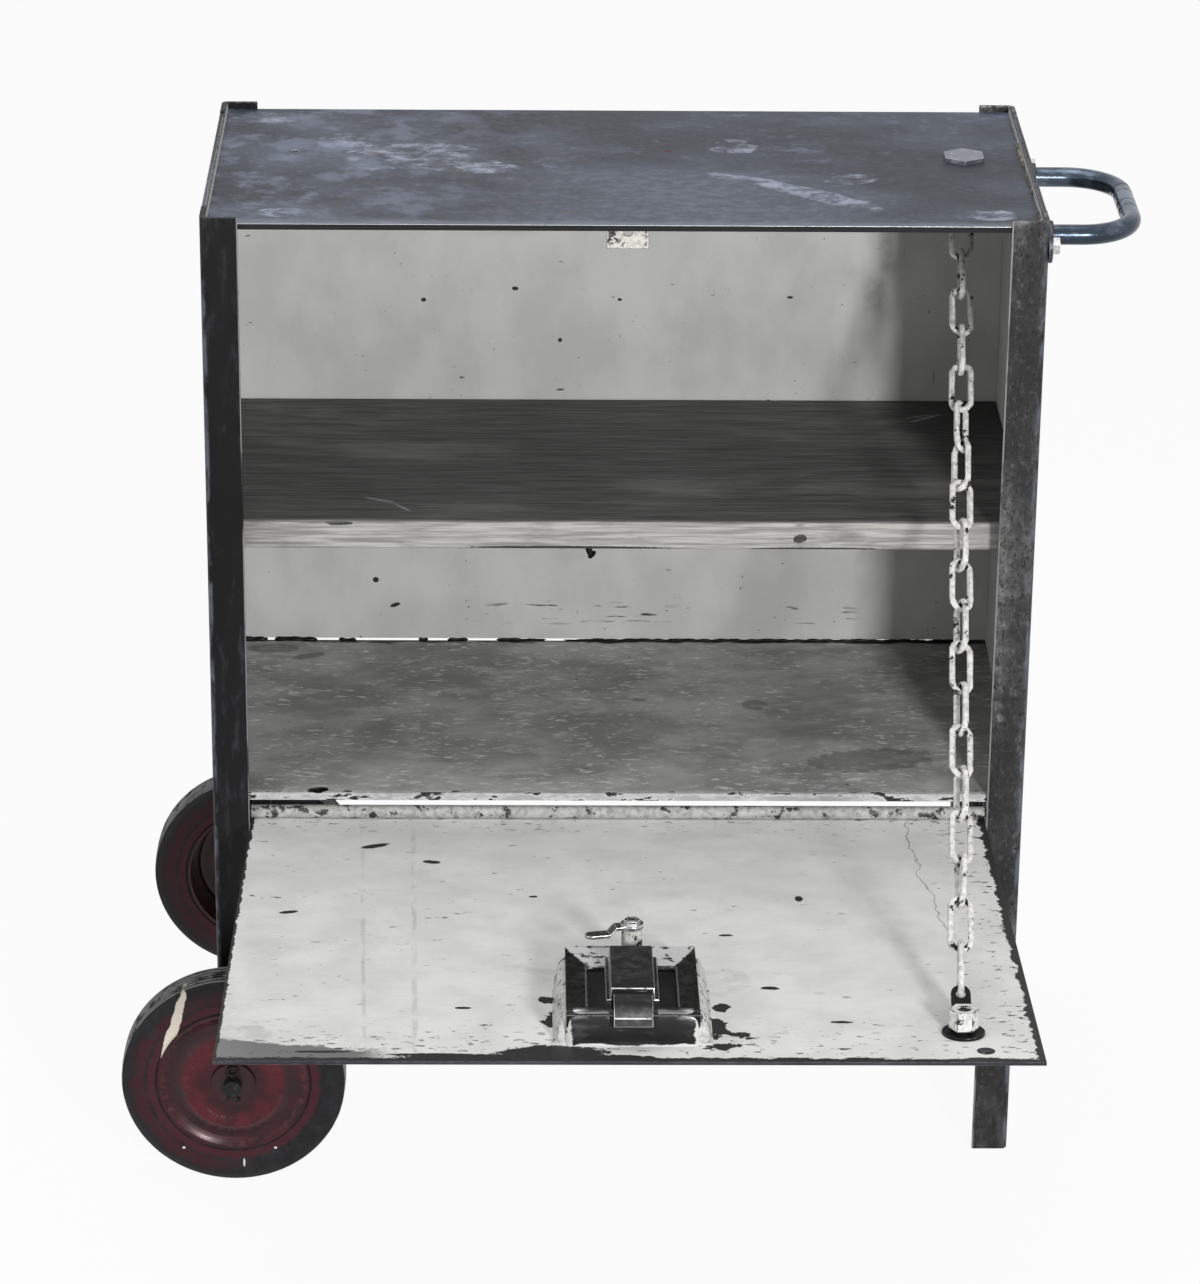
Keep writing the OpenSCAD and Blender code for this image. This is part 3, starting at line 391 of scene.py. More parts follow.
@dataclass(frozen=True)
class PostSteel(Finish):
    """Angle iron: near black at the left, mottled and pitted grey at the right, bright where hands and doors rub, with
    painted bluish highlights down the outer corners.
    """

    name: str = "post_steel_finish"

    def look(self, net: Surface) -> Look:
        """Two steels split by side, then worn tips and inner edges, and painted bluish highlights down the outer
        corners.
        """
        right = net.x.step(300, 400)
        base = net.steel((8, 8, 9), (20, 20, 22), (48, 49, 54), 0.5, 0.35, (1, 1, 4), 0.5)
        base = base.under(net.steel(44, 74, 116, 0.5, 0.55, (1, 1, 1.6), 1.0), right)
        rag = net.noise(14, 4, (1, 1, 2.5), 31.0)
        side = rag.step(0.42, 0.62)
        bright = Look(net, 132, 0.45, 0.6, 0.0)
        # painted highlight: the bluish glint down the posts' outer corners
        blue = Look(net, (112, 118, 130), 0.34, 0.8, 0.0)
        grit = net.noise(4.0, 4, (1, 1, 1.9), 81.0, 0.78)
        base = base.over(grit.step(0.48, 0.38) * right * 0.75, 30, 0.6, 0.4, -0.08)
        base = base.over(grit.step(0.55, 0.68) * right * 0.26, 140, 0.45, 0.5)
        base = base.over(net.x.near(745, 4, 8) * right * 0.45, 34, 0.6, 0.3)
        streaks = net.noise(3.2, 3, (1, 1, 2.6), 71.0).step(0.60, 0.66) * right
        base = base.over(streaks * 0.8, 20, 0.7, 0.1, -0.2)
        # painted highlights down the right and left posts' outer corners
        base = base.under(blue, net.x.near(758, 1.2, 2.5) * side * net.y.step(5, 2) * 0.6)
        base = base.under(blue, net.x.near(1.5, 1.5, 2.5) * side * net.y.step(5, 2) * 0.55)
        inner = net.x.near(726.6, 0.5, 0.5).most(net.x.near(33.6, 0.3, 0.4)) * net.y.step(2.5, 1.5)
        base = base.under(bright, inner * net.noise(30, 3, (1, 1, 3), 8.0).step(0.34, 0.5))
        tip = (net.z + rag * 6).step(942, 946) * right * 0.7
        base = base.under(bright, tip * side)
        foot = (net.z + rag * 60).step(140, 60) * right * 0.6
        base = base.over(foot * side * 0.5, 92, 0.45, 0.6)
        return base.worn(120, 0.52, 0.7)


@dataclass(frozen=True)
class TopPatina(Finish):
    """Slate blue-grey steel with pale clouds, rust specks and a lighter front edge."""

    name: str = "top_patina"
    pale_clouds: tuple = ((183, 205, 62, 40, 18), (240, 178, 45, 22, -10), (125, 250, 30, 22, 0),
                          (548, 100, 75, 14, -38), (590, 140, 26, 14, 20), (483, 240, 22, 22, 0),
                          (488, 140, 30, 12, -30), (71, 38, 22, 12, 0), (709, 38, 22, 16, 0), (43, 318, 34, 10, 0))

    def look(self, net: Surface) -> Look:
        """Steel clouds, then pale patches, rust and front wear."""
        base = net.steel((42, 47, 56), (66, 73, 86), (96, 103, 118), 0.5, 0.3, (1.6, 1, 1), 0.5)
        fine = net.noise(16, 6, (1.6, 1, 1), 2.0, 0.72)
        patch = net.spots(net.x, net.y, self.pale_clouds, 1.1, 34.0) * fine.step(0.42, 0.66)
        base = base.over(patch * 0.8, (166, 172, 190), 0.55, 0.15, 0.03)
        loose = net.noise(70, 6, (1.4, 1, 1), 44.0, 0.7).step(0.56, 0.7) * fine.step(0.4, 0.62)
        base = base.over(loose * 0.6, (118, 126, 146), 0.55, 0.2, 0.02)
        left = net.noise(52, 6, shift=91.0, rough=0.66).step(0.47, 0.62) * net.x.step(380, 110)
        base = base.over(left * 0.55, (124, 131, 150), 0.55, 0.2, 0.02)
        wash = net.noise(13, 5, shift=57.0, rough=0.7).step(0.52, 0.68) * net.x.near(220, 90, 80)
        base = base.over(wash * 0.5, (98, 86, 84), 0.6, 0.15)
        rust = net.noise(5, 4, shift=52.0).step(0.66, 0.74) * net.noise(60, 2, shift=9.0).step(0.45, 0.6)
        spot = net.spots(net.x, net.y, [[424, 223, 4, 3, 0]], 0.3)
        base = base.over((rust * 0.7).most(spot), (84, 54, 50), 0.7, 0.1, 0.05)
        front = (net.y + (fine - 0.5) * 24).step(22, 5)
        base = base.over(front * 0.5, (132, 138, 150), 0.45, 0.4)
        base = base.worn(215, 0.34, 0.95)
        return base.over(net.y.step(4.25, 4.1) * net.z.step(935.6, 935.3), 24, 0.7, 0.1)


@dataclass(frozen=True)
class Paint(Finish):
    """Pale paint on one face of a sheet, dark steel on its other face and edges."""

    name: str
    side: Side
    edge: float
    paint: Colour = (190, 190, 188)
    paint_dark: Colour = (178, 178, 176)

    def shown(self, net: Surface) -> Sock:
        """1 on the painted face."""
        axis, way = self.side.value
        across = net.door()[1] if self.side is Side.DOOR_INNER else getattr(net, axis)
        return across.step(self.edge, self.edge + 0.2 * way)

    def marks(self, net: Surface) -> Sock:
        """Where the paint is gone."""
        specks = net.noise(4.0, 3, (1.3, 1.3, 1), 3.0).step(0.70, 0.74) * net.noise(45, 2, shift=6.0).step(0.48, 0.6)
        dashes = net.noise(7, 3, (3.0, 3.0, 0.8), 13.0).step(0.74, 0.77)
        cracks = net.noise(6, 3, (0.5, 1, 7), 37.0).step(0.72, 0.76) * 0.5
        cracks = cracks * net.noise(90, 2, shift=16.0).step(0.45, 0.6)
        dots = net.noise(2.4, 2, shift=43.0).step(0.75, 0.79) * net.noise(70, 3, shift=26.0).step(0.42, 0.55) * 0.8
        where = net.x.near(345, 60, 50).most(net.x.near(575, 25, 30))
        low = net.z.near(414, 6, 9) * where * net.noise(8, 4, (5, 5, 0.5), 17.0).step(0.60, 0.64)
        table = [[143, 449, 3, 3, 0], [162, 422, 5, 2, 20], [281, 756, 3, 2, 0], [192, 744, 2.5, 2, 0],
                 [549, 748, 3, 1.3, 0], [325, 703, 2, 2, 0], [383, 745, 2, 1.5, 0]]
        return specks.most(dashes).most(low).most(cracks).most(dots).most(net.spots(net.x, net.z, table, 0.5, 3.0))

    def shade(self, net: Surface, look: Look) -> Look:
        """Painted shadow of the chain: a soft dark vertical streak and a blob; and faint dirt clouds."""
        # painted shadow: a soft darker streak and blob where the chain's shadow falls on the back panel
        painted_shadow_streak = net.x.near(641, 2, 9) * net.z.near(796, 12, 18)
        painted_chain_shadow = painted_shadow_streak.most(net.x.near(632, 4, 14) * net.z.near(752, 6, 20))
        painted_chain_shadow = painted_chain_shadow * net.noise(9, 4, shift=53.0).step(0.2, 0.6)
        dirt = net.noise(160, 5, (1, 1, 0.7), 23.0).step(0.52, 0.72)
        # grey 120 carries the painted shadow and the faint dirt together
        return look.over((painted_chain_shadow * 0.5).most(dirt * 0.12), 120, 0.6)

    def look(self, net: Surface) -> Look:
        """Paint over steel with its chips showing the steel."""
        steel = net.steel((46, 48, 52), (58, 60, 65), (73, 76, 82), 0.46, 0.5, (1, 1, 1.2), 0.8)
        tone = net.noise(60, 5, (1, 1, 1.6), 41.0)
        paint = Look(net, net.mix(tone.step(0.35, 0.65), self.paint, self.paint_dark), 0.5 + (tone - 0.5) * 0.2, 0.0,
                     net.noise(5, 3, shift=1.0) * 0.06 + 0.15)
        paint = self.shade(net, paint)
        chip = self.marks(net)
        return steel.worn(180).under(paint.over(chip, (48, 47, 47), 0.55, 0.4), self.shown(net))


@dataclass(frozen=True)
class DoorPaint(Paint):
    """The door's inner face: pale paint, chipped in dashes, bare along the free and right edges."""

    paint: Colour = (232, 232, 230)
    paint_dark: Colour = (220, 220, 218)

    def marks(self, net: Surface) -> Sock:
        """Chips, long dashes, and the bare rims of the plate."""
        s, _ = net.door()
        x = net.x
        wide = net.noise(26, 5, (1.5, 1, 1), 61.0, 0.7) - 0.5
        fine = net.noise(7, 4, (2, 1, 1), 64.0, 0.65) - 0.5
        right = (x + wide * 16 + fine * 9).step(717.5, 719)
        front = (s + wide * 18 + fine * 10).step(577.5, 579)
        left = (x + wide * 8 + fine * 5).step(38, 37)
        hinge = (s + fine * 9).step(0, -2)
        table = [[154, 76, 14, 4.5, -26], [207, 118, 8, 4, 15], [81, 246, 9, 3.5, -18], [539, 210, 3.4, 7, 0],
                 [503, 424, 8, 3.6, 5], [318, 572, 46, 20, 0], [250, 578, 60, 7, 0], [372, 579, 30, 7, 0],
                 [123, 566, 26, 2.5, 0], [217, 572, 40, 3, 0], [470, 300, 6, 2.6, 0],
                 [300, 206, 4, 2.5, 0], [560, 500, 9, 2.8, 0], [240, 470, 7, 2.6, 0]]
        beside_latch = [[316, 498, 8, 17, 0], [312, 452, 7, 8, 0], [453, 512, 9, 22, 0], [459, 468, 7, 8, 0],
                        [457, 552, 13, 8, 0], [470, 528, 16, 6, 20]]
        spots = net.spots(x, s, table, 0.9, 6.0).most(net.spots(x, s, beside_latch, 2.3, 8.0))
        dashes = net.noise(4.5, 3, (3.6, 1, 1), 67.0).step(0.68, 0.71) * net.noise(80, 2, shift=4.0).step(0.42, 0.6)
        near_edge = s.step(480, 575).most(x.step(660, 715)).most(s.step(60, 8) * 0.7)
        flecks = net.noise(5, 4, (2.4, 1, 1), 71.0).step(0.62, 0.65) * near_edge
        return right.most(front).most(left).most(hinge).most(spots).most(dashes).most(flecks)

    def shade(self, net: Surface, look: Look) -> Look:
        """Smudges, a bare corner and left edge, drips, a crack and faint brush lines."""
        s, _ = net.door()
        corner = net.spots(net.x, s, [[52, 540, 34, 30, 0]], 0.8, 40.0) * net.noise(20, 4, shift=6.0).step(0.35, 0.6)
        look = look.over(corner * 0.25, 140, 0.4, 0.5)
        rag = (net.noise(22, 6, (2, 1, 1), 16.0, 0.8) - 0.5) * 52
        lip = (s - net.x * 0.16 + rag).step(533, 537) * net.x.step(190, 150)
        look = look.over(lip * 0.9, 128, 0.38, 0.6)
        smear = net.spots(net.x, s, [[455, 414, 34, 30, 0], [325, 400, 60, 16, 20]], 1.3, 30.0)
        smear = smear * net.noise(14, 5, (2, 1, 1), 19.0, 0.7).step(0.4, 0.62)
        drip = (net.x - s * 0.036).near(139, 0.6, 2.2).most((net.x - s * 0.026).near(187, 1.0, 2.6)) * s.step(15, 70)
        drip = drip * net.noise(9, 5, (1, 5, 1), 29.0).step(0.4, 0.6)
        look = look.over(drip * 0.3, 140, 0.55)
        bent = net.x - (s - 110).most(0.0) * 0.1 + (net.noise(38, 4, shift=31.0) - 0.5) * 26
        crack = bent.near(650, 0.3, 0.8) * s.step(2, 12) * s.step(315, 290)
        look = look.over(crack * 0.55, 96, 0.6)
        brush = net.noise(3.5, 4, (9, 1, 1), 87.0, 0.7).step(0.52, 0.72) * 0.6
        dirt = (net.noise(120, 6, EVEN, 77.0, 0.65).step(0.5, 0.7)).most(brush)
        return look.over((smear * 0.22).most(dirt * 0.2), 150, 0.55)


@dataclass(frozen=True)
class FloorPaint(Finish):
    """The floor: dull grey paint, pale specks drawn out across the case, dark chips, and a pale chipped hem."""

    name: str = "floor_paint_finish"

    def look(self, net: Surface) -> Look:
        """Grey clouds, specks, chips, stains and the hem's paint."""
        tone = net.noise(70, 6, (1.6, 1, 1), 2.0, 0.62)
        base = Look(net, net.mix(tone.step(0.35, 0.66), (128, 128, 127), (168, 168, 166)), 0.62, 0.0, tone * 0.2)
        specks = net.noise(4.2, 3, (3.4, 1, 1), 5.0, 0.6).step(0.58, 0.63)
        specks = specks * net.noise(60, 3, shift=8.0).step(0.34, 0.56)
        base = base.over(specks * 0.7, 212, 0.55, 0.0, 0.15)
        scuff = net.noise(26, 6, (2.2, 1, 1), 15.0, 0.72).step(0.56, 0.66)
        base = base.over(scuff * 0.5, 188, 0.6, 0.0, 0.1)
        chips = net.noise(5, 4, (2.0, 1, 1), 25.0, 0.65).step(0.66, 0.70) * net.noise(90, 2, shift=3.0).step(0.44, 0.6)
        table = [[516, 200, 12, 10, 0], [404, 211, 7, 3, 0], [42, 330, 26, 10, 0], [78, 312, 16, 6, 20],
                 [621, 78, 60, 24, 8]]
        stain = net.spots(net.x, net.y, table, 1.0, 12.0)
        rear = (net.y + (net.noise(12, 4, (3, 1, 1), 33.0) - 0.5) * 22).step(344, 348)
        base = base.over(chips.most(stain * 0.45).most(rear), 52, 0.6, 0.2)
        hem = net.y.step(12, 8)
        rag = net.noise(9, 4, (3, 1, 1), 55.0, 0.65)
        paint = Look(net, net.mix(rag.step(0.4, 0.6), 160, 196), 0.5, 0.0, 0.15)
        hemmed = paint.over(rag.step(0.565, 0.60), 50, 0.5, 0.4)
        under = net.z.step(374.5, 374.0) * net.y.step(7.5, 8.5)
        steel = net.steel(46, 66, 92, 0.5, 0.5)
        return base.under(hemmed, hem).under(steel, under)


@dataclass(frozen=True)
class Board(Finish):
    """Weathered softwood: dark on top with grain across the case, paler scraped front, knots and a few scratches."""

    name: str = "shelf_wood_finish"

    def look(self, net: Surface) -> Look:
        """Stretched grain with painted shade towards the rear right, then the front's scraped tone, knots and
        scratches.
        """
        warp = (net.noise(140, 3, (2.5, 1, 1), 2.0) - 0.5) * 60
        line = ((net.y + net.z * 0.6 + warp) * (2 * math.pi / 14)).sine() * 0.5 + 0.5
        fibre = net.noise(2.2, 5, (34, 1, 1), 4.0, 0.6)
        cloud = net.noise(80, 5, (3, 1, 1), 12.0, 0.6)
        dark = net.mix(fibre.step(0.35, 0.68), (64, 64, 63), (104, 103, 102))
        dark = net.mix(cloud.step(0.52, 0.72) * 0.6, dark, (132, 131, 129))
        dark = net.mix(line * 0.10, dark, (44, 44, 43))
        # painted shade: the top darkens towards the rear right corner, where the right side sheet shades it
        dark = net.mix(net.x.step(590, 740) * net.y.step(120, 330) * 0.6, dark, (40, 40, 40))
        pale = net.mix(fibre.step(0.36, 0.66), (126, 125, 123), (172, 171, 168))
        pale = net.mix(net.noise(30, 5, (3.5, 1, 1), 29.0, 0.65).step(0.5, 0.68) * 0.6, pale, (100, 99, 98))
        edge = net.z.near(642, 1.2, 1.0)
        front = net.y.step(27.0, 25.6)
        top = Look(net, dark, 0.62, 0.0, fibre * 0.35)
        look = top.over(front.most(edge * 0.6 * net.y.step(33, 27)), pale, 0.66, 0.0, fibre * 0.5)
        knots = net.spots(net.x, net.z, [[545, 626, 6.5, 4, 15], [120, 640, 12, 2, 0], [330, 616.5, 90, 1.6, 0],
                                         [560, 616, 60, 1.4, 0]], 0.8, 4.0) * front
        scratch = net.spots(net.x, net.y, [[157, 79, 16, 2.0, -25], [178, 60, 12, 1.6, -50], [681, 301, 18, 2.2, 35],
                                           [675, 306, 14, 1.2, 20]], 0.5, 4.0) * (1.0 - front)
        look = look.over(knots * 0.9, 32, 0.7)
        return look.over(scratch * 0.8, 150, 0.6, 0.0, 0.2)


@dataclass(frozen=True)
class Chipped(Finish):
    """Thick pale paint over dark steel on small parts, gone in patches."""

    name: str
    paint: Colour = (212, 209, 203)
    under_tone: Colour = (58, 57, 57)
    size: float = 9.0
    gone: float = 0.58

    def look(self, net: Surface) -> Look:
        """Lumpy paint with bare patches, worn through first at the edges."""
        rag = net.noise(self.size, 5, EVEN, 14.0, 0.7) + net.worn() * 0.12
        tone = net.noise(5, 3, shift=2.0)
        paint = Look(net, net.mix(tone.step(0.35, 0.7), self.paint, ink(self.paint, 0.62)),
                     0.5, 0.0, tone * 0.3 + 0.2)
        return paint.over(rag.step(self.gone, self.gone + 0.04), self.under_tone, 0.42, 0.6)


@dataclass(frozen=True)
class WheelRed(Finish):
    """Burgundy enamel with painted highlights on the crests, painted shade in the trough, fine scratches and a little
    dust.
    """

    name: str = "wheel_red_finish"
    coat: ClassVar[float] = 0.2

    def look(self, net: Surface) -> Look:
        """Red clouds with rings by the distance from the axle: painted highlights on the crests, painted shade in the
        trough, and a darker hub.
        """
        radius = net.radius()
        tone = net.noise(22, 5, shift=3.0, rough=0.65)
        colour = net.mix(tone.step(0.35, 0.7), (32, 4, 10), (62, 9, 20))
        # painted highlight: a lighter ring on the bowl's crest
        colour = net.mix(radius.near(41, 4, 10) * (tone.step(0.3, 0.6) * 0.5 + 0.25), colour, (80, 9, 22))
        base = Look(net, colour, 0.32 + (tone - 0.5) * 0.3, 0.15, tone * 0.15)
        # painted shade: a darker ring in the pressed trough
        trough = radius.near(55, 3, 5) * 0.6
        base = base.over(trough, (34, 10, 16), 0.5)
        # painted highlights: pale glints round the rim's crest and the bowl's crest
        rub = net.noise(6, 4, shift=9.0).step(0.52, 0.62) * radius.near(67, 1.6, 2.0).most(radius.near(44, 2, 3) * 0.6)
        base = base.over(rub * 0.12, (150, 84, 92), 0.4, 0.2)
        hub = radius.step(26, 12)
        base = base.over(hub * 0.8, (42, 24, 27), 0.55, 0.2)
        scratch = net.noise(2.0, 3, (1, 1, 9), 19.0).step(0.70, 0.74) * net.noise(30, 2, shift=2.0).step(0.5, 0.6)
        return base.over(scratch * 0.4, (130, 76, 84), 0.5)


@dataclass(frozen=True)
class Rubber(Finish):
    """Black rubber with grey dust, red overspray beside the rim and a beige scuff on the front wheel."""

    name: str = "tyre_rubber_finish"

    def look(self, net: Surface) -> Look:
        """Dusty rubber with marks by place on the wheel."""
        radius = net.radius()
        dust = net.noise(18, 6, shift=5.0, rough=0.7)
        base = Look(net, net.mix(dust.step(0.4, 0.72), (13, 13, 15), (34, 34, 37)), 0.62, 0.0, dust * 0.25)
        spray = (radius + (net.noise(7, 4, shift=8.0) - 0.5) * 10).step(84, 79) * radius.step(73.2, 74.5)
        base = base.over(spray * 0.8, (62, 16, 28), 0.5)
        blotch = (radius + (dust - 0.5) * 40).step(100, 88) * (net.x - AXLE_X).step(30, -40) * radius.step(83, 85)
        base = base.over(blotch * 0.7, (58, 14, 26), 0.5)
        crest = radius.step(104.9, 105.3) * net.noise(14, 4, shift=27.0).step(0.35, 0.5)
        base = base.over(crest * 0.75, 140, 0.7)
        front = net.y.step(-40, -55)
        scuff = net.spots(net.x, net.z, [[-36, 168, 34, 4.5, 75], [-45, 140, 24, 4.0, 80]], 0.8, 9.0) * front
        tick = net.spots(net.x, net.z, [[26, 20, 1.0, 4.5, 0], [-31, 36, 1.6, 1.2, 0], [56, 36, 1.6, 1.2, 0]], 0.3, 3.0)
        base = base.over(scuff * 0.95, (216, 208, 194), 0.7)
        return base.over(tick * front, 200, 0.6)


@dataclass(frozen=True)
class PressedBar(Finish):
    """Glossy dark bare steel with painted highlights near its top corners, a painted sheen along its top, and some
    paint left at its ends.
    """

    name: str = "pressed_bar_finish"

    def look(self, net: Surface) -> Look:
        """Dark steel with painted highlights near its top corners and a painted sheen along its top, painted where it
        meets the plate.
        """
        _, n = net.door()
        out = abs(net.x - LATCH_X)
        rag = net.noise(9, 4, (2, 1, 1), 4.0, 0.6)
        steel = net.steel(24, 42, 72, 0.36, 0.5, (3, 1, 1), 0.4)
        # painted highlights: pale glints near the bar's top corners, and a painted sheen line along its top
        crown = (out + (rag - 0.5) * 12).step(36, 51) * (n + (rag - 0.5) * 8).step(23, 30) * 0.9
        sheen = (n + (rag - 0.5) * 5).near(30.6, 0.4, 1.6) * 0.3
        steel = steel.over(crown.most(sheen), 176, 0.22, 0.9)
        ends = (out + (rag - 0.5) * 10).step(51, 53).most((n + (rag - 0.5) * 6).step(3.4, 2.2))
        return steel.over(ends, 196, 0.5, 0.0, 0.2)


@dataclass(frozen=True)
class BoltSteel(Finish):
    """The latch bolt: dark steel with worn edges, and painted black shade where it leaves its housing."""

    name: str = "bolt_nose_finish"

    def look(self, net: Surface) -> Look:
        """Worn steel, then a painted black shade where the housing overhangs the bolt."""
        s, _ = net.door()
        steel = net.steel(46, 74, 108, 0.32, 0.7, EVEN, 0.6)
        # painted shade: black across the bolt where it leaves the housing
        return steel.worn(215, 0.36).over(s.step(529.4, 528.0), 5, 0.9)


@dataclass(frozen=True)
class LatchPan(Finish):
    """The pan: dark bare steel on top, pale chipped paint low on its outside and over its back corners."""

    name: str = "latch_pan_finish"

    def look(self, net: Surface) -> Look:
        """Dark steel with a painted highlight along its slots' outer edges, and the paint that is left."""
        s, n = net.door()
        steel = net.steel(22, 38, 70, 0.28, 0.7, EVEN, 0.5)
        out = abs(net.x - LATCH_X)
        rag = (net.noise(8, 4, shift=4.0, rough=0.65) - 0.5)
        low = (n + rag * 14).step(19, 15) * (out.step(52, 55).most(s.step(398, 394)))
        back = (s + (out - 37).most(0.0) * 2.4 + rag * 22).step(444, 439) * n.step(26.6, 27.3)
        paint = Look(net, 200, 0.5, 0.0, 0.2)
        pale = paint.over((rag + 0.5).step(0.55, 0.6), 46, 0.5, 0.4)
        # painted highlight: a bright glint along the slots' outer edges
        line = out.near(38.8, 0.4, 0.5) * s.near(486, 44, 3) * n.step(26, 27)
        steel = steel.over(line * 0.8, 168, 0.24, 0.85)
        return steel.under(pale, low.most(back)).worn(205, 0.36, 0.9)


STEELS = {
    "rail": Steel("rail_steel", (34, 34, 37), (58, 60, 66), (96, 99, 108), (140, 140, 142), 0.45, 0.5,
                  (1, 3, 1), 0.7, 0.5),
    "handle": Steel("handle_steel", (36, 42, 50), (66, 75, 87), (108, 119, 134), 190, 0.24, 0.85, (3, 3, 1), 0.4),
    "bead": Steel("bead_steel", (52, 46, 40), (96, 86, 74), (186, 174, 158), 190, 0.5, 0.4),
    "housing": Steel("housing_steel", 28, 48, 88, 210, 0.34, 0.7, EVEN, 0.6, 0.38),
    "zinc": Steel("zinc_plate", 120, 170, 215, 235, 0.30, 0.9, EVEN, 0.3),
    "bolt": Steel("bolt_steel", (84, 88, 96), (116, 120, 129), (152, 156, 165), 215, 0.36, 0.8, EVEN, 0.5, 0.35),
    "axle": Steel("axle_steel", 28, 48, 80, 150, 0.45, 0.7),
    "dark": Steel("latch_steel", 26, 42, 74, 200, 0.30, 0.75, EVEN, 0.5, 0.40),
    "black": Steel("black_steel", 13, 22, 44, 120, 0.42, 0.5, EVEN, 0.4, 0.52),
    "lock": Steel("lock_steel", 96, 150, 205, 235, 0.24, 0.95, EVEN, 0.5, 0.35),
    "rod": Steel("rod_steel", 44, 70, 110, 170, 0.42, 0.7),
}


def linked(name: str, data: bpy.types.ID) -> bpy.types.Object:
    """A new object in the scene."""
    obj = bpy.data.objects.new(name, data)
    bpy.context.scene.collection.objects.link(obj)
    return obj


def dress(obj: bpy.types.Object, finish: Finish, body: str, slot: str, *nodes: str) -> bpy.types.Object:
    """Gives a piece its material and body.

    Args:
        obj: the piece.
        finish: its finish.
        body: the body it rides on.
        slot: the record's material slot; not used.
        nodes: CAD nodes that it stands for.
    Returns:
        The same piece.
    """
    obj.data.materials.clear()
    obj.data.materials.append(finish.material())
    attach(obj, body)
    if nodes:
        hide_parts(*nodes)
    return obj


def finish_mesh(name: str, bm: bmesh.types.BMesh, sharp: float, weigh: bool = False) -> bpy.types.Object:
    """Turns a bmesh into an object with smooth faces split at sharp edges.

    Args:
        name: the piece's name.
        bm: the mesh, freed afterwards.
        sharp: edges above this angle in degrees stay sharp.
        weigh: adds weighted normals, so that flat faces shade flat.
    Returns:
        The object, linked to the scene.
    """
    for face in bm.faces:
        face.smooth = True
    for edge in bm.edges:
        edge.smooth = not (len(edge.link_faces) == 2 and edge.calc_face_angle(0.0) > math.radians(sharp))
    mesh = bpy.data.meshes.new(name)
    bm.to_mesh(mesh)
    bm.free()
    obj = linked(name, mesh)
    if weigh:
        made = obj.modifiers.new("weighted", "WEIGHTED_NORMAL")
        made.keep_sharp = True
        made.weight = 80
    return obj


def node_copy(node: str) -> bmesh.types.BMesh:
    """A CAD node's mesh with its doubled vertices merged."""
    bm = bmesh.new()
    bm.from_mesh(frame["nodes"][node].data)
    bmesh.ops.remove_doubles(bm, verts=bm.verts, dist=MERGE_METRES)
    return bm


def carried(node: str, finish: Finish, bevel: float) -> bpy.types.Object:
    """A CAD node's merged copy with bevelled edges that are marked as worn where narrow, standing for the node.

    Args:
        node: the CAD node.
        finish: its finish.
        bevel: width of the bevel in millimetres, 0 for none.
    Returns:
        The copy.
    """
    bm = node_copy(node)
    bmesh.ops.dissolve_limit(bm, angle_limit=math.radians(0.5), verts=bm.verts, edges=bm.edges)
    layer = bm.faces.layers.float.new("worn")
    if bevel:
        edges = [e for e in bm.edges if len(e.link_faces) == 2 and e.calc_face_angle(0.0) > math.radians(32)]
        made = bmesh.ops.bevel(bm, geom=edges, offset=bevel / 1000, offset_type="OFFSET", segments=2, profile=0.5,
                               affect="EDGES", clamp_overlap=True)
        for face in made["faces"]:
            face[layer] = float(2000 * face.calc_area() / max(face.calc_perimeter(), 1e-9) < 1.3 * bevel)
    return dress(finish_mesh(f"{node}_dressed", bm, 34.0, True), finish, BODY_OF[node], SLOT_OF[node], node)


def swept(name: str, points: np.ndarray, closed_path: bool = False) -> bpy.types.Object:
    """A surface from a grid of points: rows run along a path, columns run round the profile and close.

    The faces join neighbouring rows and columns, the ends get caps unless the path closes, and the normals are
    turned outwards.

    Args:
        name: the piece's name.
        points: array of rows, columns and 3 case millimetres.
        closed_path: joins the last row to the first.
    Returns:
        The object.
    """
    rows, cols = points.shape[:2]
    i = np.arange(rows if closed_path else rows - 1)[:, None]
    j = np.arange(cols)[None]
    k = (i + 1) % rows
    quads = grid(i * cols + j, i * cols + (j + 1) % cols, k * cols + (j + 1) % cols, k * cols + j)
    faces = quads.reshape(-1, 4).tolist()
    if not closed_path:
        faces += [list(range(cols))[::-1], list(range((rows - 1) * cols, rows * cols))]
    mesh = bpy.data.meshes.new(name)
    mesh.from_pydata(metres(points.reshape(-1, 3)).tolist(), [], faces)
    bm = bmesh.new()
    bm.from_mesh(mesh)
    bpy.data.meshes.remove(mesh)
    bmesh.ops.recalc_face_normals(bm, faces=bm.faces)
    return finish_mesh(name, bm, 40.0)


def tube(path: np.ndarray, radius: np.ndarray, sides: int) -> np.ndarray:
    """Rings round a path: each point gets a circle square to the path's direction, turned as little as possible.

    Args:
        path: points in case millimetres.
        radius: radius at each point.
        sides: points round each ring.
    Returns:
        Array of path points, sides and 3.
    """
    ahead = np.gradient(path, axis=0)
    ahead /= np.linalg.norm(ahead, axis=1, keepdims=True)
    side = np.cross(ahead, [0.31, 0.22, 0.92])
    side /= np.linalg.norm(side, axis=1, keepdims=True)
    up = np.cross(side, ahead)
    turn = np.linspace(0, 2 * np.pi, sides, endpoint=False)[None, :, None]
    ring = np.cos(turn) * side[:, None] + np.sin(turn) * up[:, None]
    return path[:, None] + np.asarray(radius)[:, None, None] * ring


